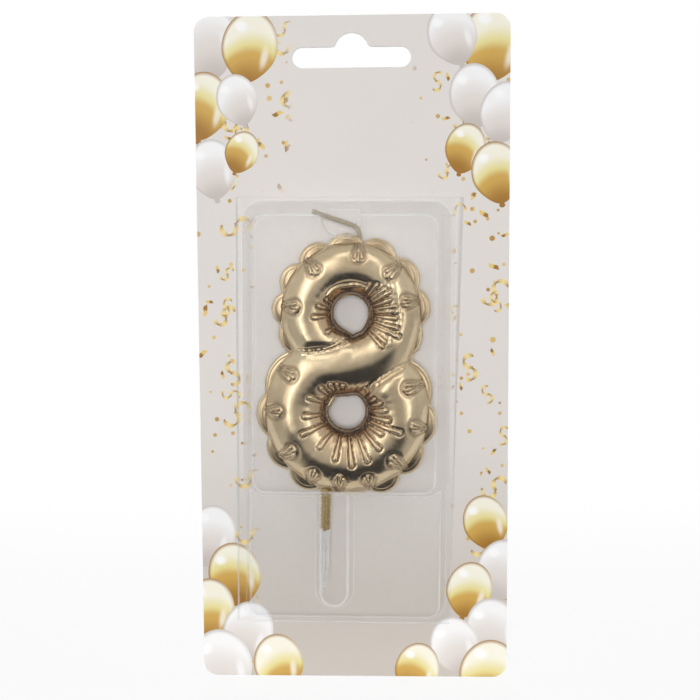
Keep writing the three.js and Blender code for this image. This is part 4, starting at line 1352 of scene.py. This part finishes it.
# x, z, half width, half height, tilt, whether it is gold
BALLOONS = [
    (-39.5, -1.5, 8.6, 10.6, -14, False), (-27.5, -3.5, 7.6, 9.6, 10, True),
    (-40.5, -19.0, 7.4, 9.2, 8, True), (-31.0, -17.5, 5.6, 7.0, -16, False),
    (-38.0, -36.0, 6.6, 8.2, -8, False), (-30.0, -31.5, 4.6, 5.8, 20, True),
    (38.0, -3.0, 8.8, 10.8, 12, True), (27.0, -1.0, 6.6, 8.2, -18, False),
    (33.0, -17.0, 6.8, 8.6, -6, False), (41.0, -21.5, 6.6, 8.4, 16, False),
    (30.5, -31.0, 5.4, 6.8, 14, True), (39.0, -37.5, 6.8, 8.4, -10, True),
    (-40.0, -137.0, 6.8, 8.4, 12, False), (-33.5, -148.5, 7.4, 9.2, -10, True),
    (-41.0, -158.5, 7.2, 9.0, 6, True), (-30.0, -164.5, 7.0, 8.6, 18, False),
    (-37.5, -174.5, 8.6, 10.4, -12, False), (-21.5, -174.0, 7.0, 8.6, -6, True),
    (36.5, -133.5, 6.2, 7.8, -14, True), (41.0, -147.0, 7.0, 8.8, 10, False),
    (32.0, -152.5, 6.4, 8.0, 14, True), (38.5, -164.0, 7.4, 9.2, -8, False),
    (28.0, -168.5, 6.8, 8.4, -16, False), (37.5, -176.5, 8.2, 9.8, 12, True),
    (17.5, -175.5, 6.2, 7.8, 10, True),
]


# cell size, shift of the cells, the share of cells that hold a streamer
STREAMER_LAYERS = [(17.0, (0.3, 0.6, 0), 0.62), (12.0, (7.1, 3.4, 0), 0.36)]


def printed_card():
    """Coated card: a pale warm print on its front, plain board on its back and edges."""
    material, tree, surface = new_material("printed_coated_card")
    place = in_millimetres(tree)
    x, _, z = tree.split(place)
    flat = tree.point(x, z, 0.0)
    mottle = tree.span(tree.noise(place, 0.035, 3), 0.35, 0.65, 0.0, 0.5)
    ground = tree.blend(mottle, colour(224, 219, 215), colour(228, 222, 216))
    # Painted shade: the ground is darker towards the card's lower end, where the real card bends
    # back away from the light.
    ground = tree.blend(tree.span(z, -100.0, -172.0), ground, colour(199, 191, 183))
    # Streamers lie down both sides, and further in round the head, whose middle stays bare.
    side = tree.span(abs(x), 25.5, 29.5)
    below_head = tree.span(z, -38.0, -44.0)
    where = tree.most(side, tree.span(abs(x), 15.0, 19.0) * (1.0 - below_head))
    streamers = streamer_print()
    for cell, shift, share in STREAMER_LAYERS:
        ground = tree.get("Colour", "ShaderNodeGroup", {"node_tree": streamers}, Place=flat,
                          Cell=cell, Shift=shift, Share=share, Where=where, Under=ground)
    outline = balloon_outline()
    found = (0, 0, 0)
    for i, (across, up, wide, tall, tilt, is_gold) in enumerate(BALLOONS):
        # The whole number tells pearl from gold, the rest how far its shine leans over.
        kind = 1 + is_gold + 0.25 + 0.22 * math.sin(i * 2.3)
        found = tree.get("Found", "ShaderNodeGroup", {"node_tree": outline}, Place=flat,
                         Middle=(across, up, 0), Half_Size=(wide, tall, 1),
                         Tilt=math.radians(tilt), Kind=kind, Before=found)
    ground = shine(tree, found, ground)
    fibre = tree.span(tree.noise(place, 3.0, 4), 0.3, 0.7)
    board = tree.blend(fibre, colour(214, 211, 205), colour(228, 226, 221))
    _, facing, _ = tree.split(tree.get("Normal", "ShaderNodeTexCoord"))
    front = facing < -0.5
    paint = tree.blend(front, board, ground)
    waves = tree.bump(tree.noise(place, 0.03, 2), 0.0008, 0.25)
    tooth = tree.bump(tree.noise(place, 2.0, 3), 0.00003, 0.35, Normal=waves)
    shader = tree.add("ShaderNodeBsdfPrincipled", Base_Color=paint, Normal=tooth,
                      Roughness=tree.between(front, 0.85, 0.38))
    tree.put(surface, shader)
    return material


# ---------------------------------------------------------------------------
# Assembly
# ---------------------------------------------------------------------------

set_camera()
light_room()
lay_floor(cad_box[0][2] - LOOSE_GAP * MM)

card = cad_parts["backing_card"]
for slot in card.material_slots:
    slot.material = printed_card()

gold = gold_coat()
eight = build_skin(gold)
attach(eight, "candle")
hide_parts("candle_body")

scallops = build_scallops(gold)
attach(scallops, "candle")

wick = build_wick(wick_thread())
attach(wick, "candle")
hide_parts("wick")

pick = build_pick(pick_plastic())
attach(pick, "candle")
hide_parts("pick")

sheet = build_sheet(clear_sheet())
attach(sheet, "blister_shell")
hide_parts("blister")

bpy.context.scene.view_settings.view_transform = "Standard"
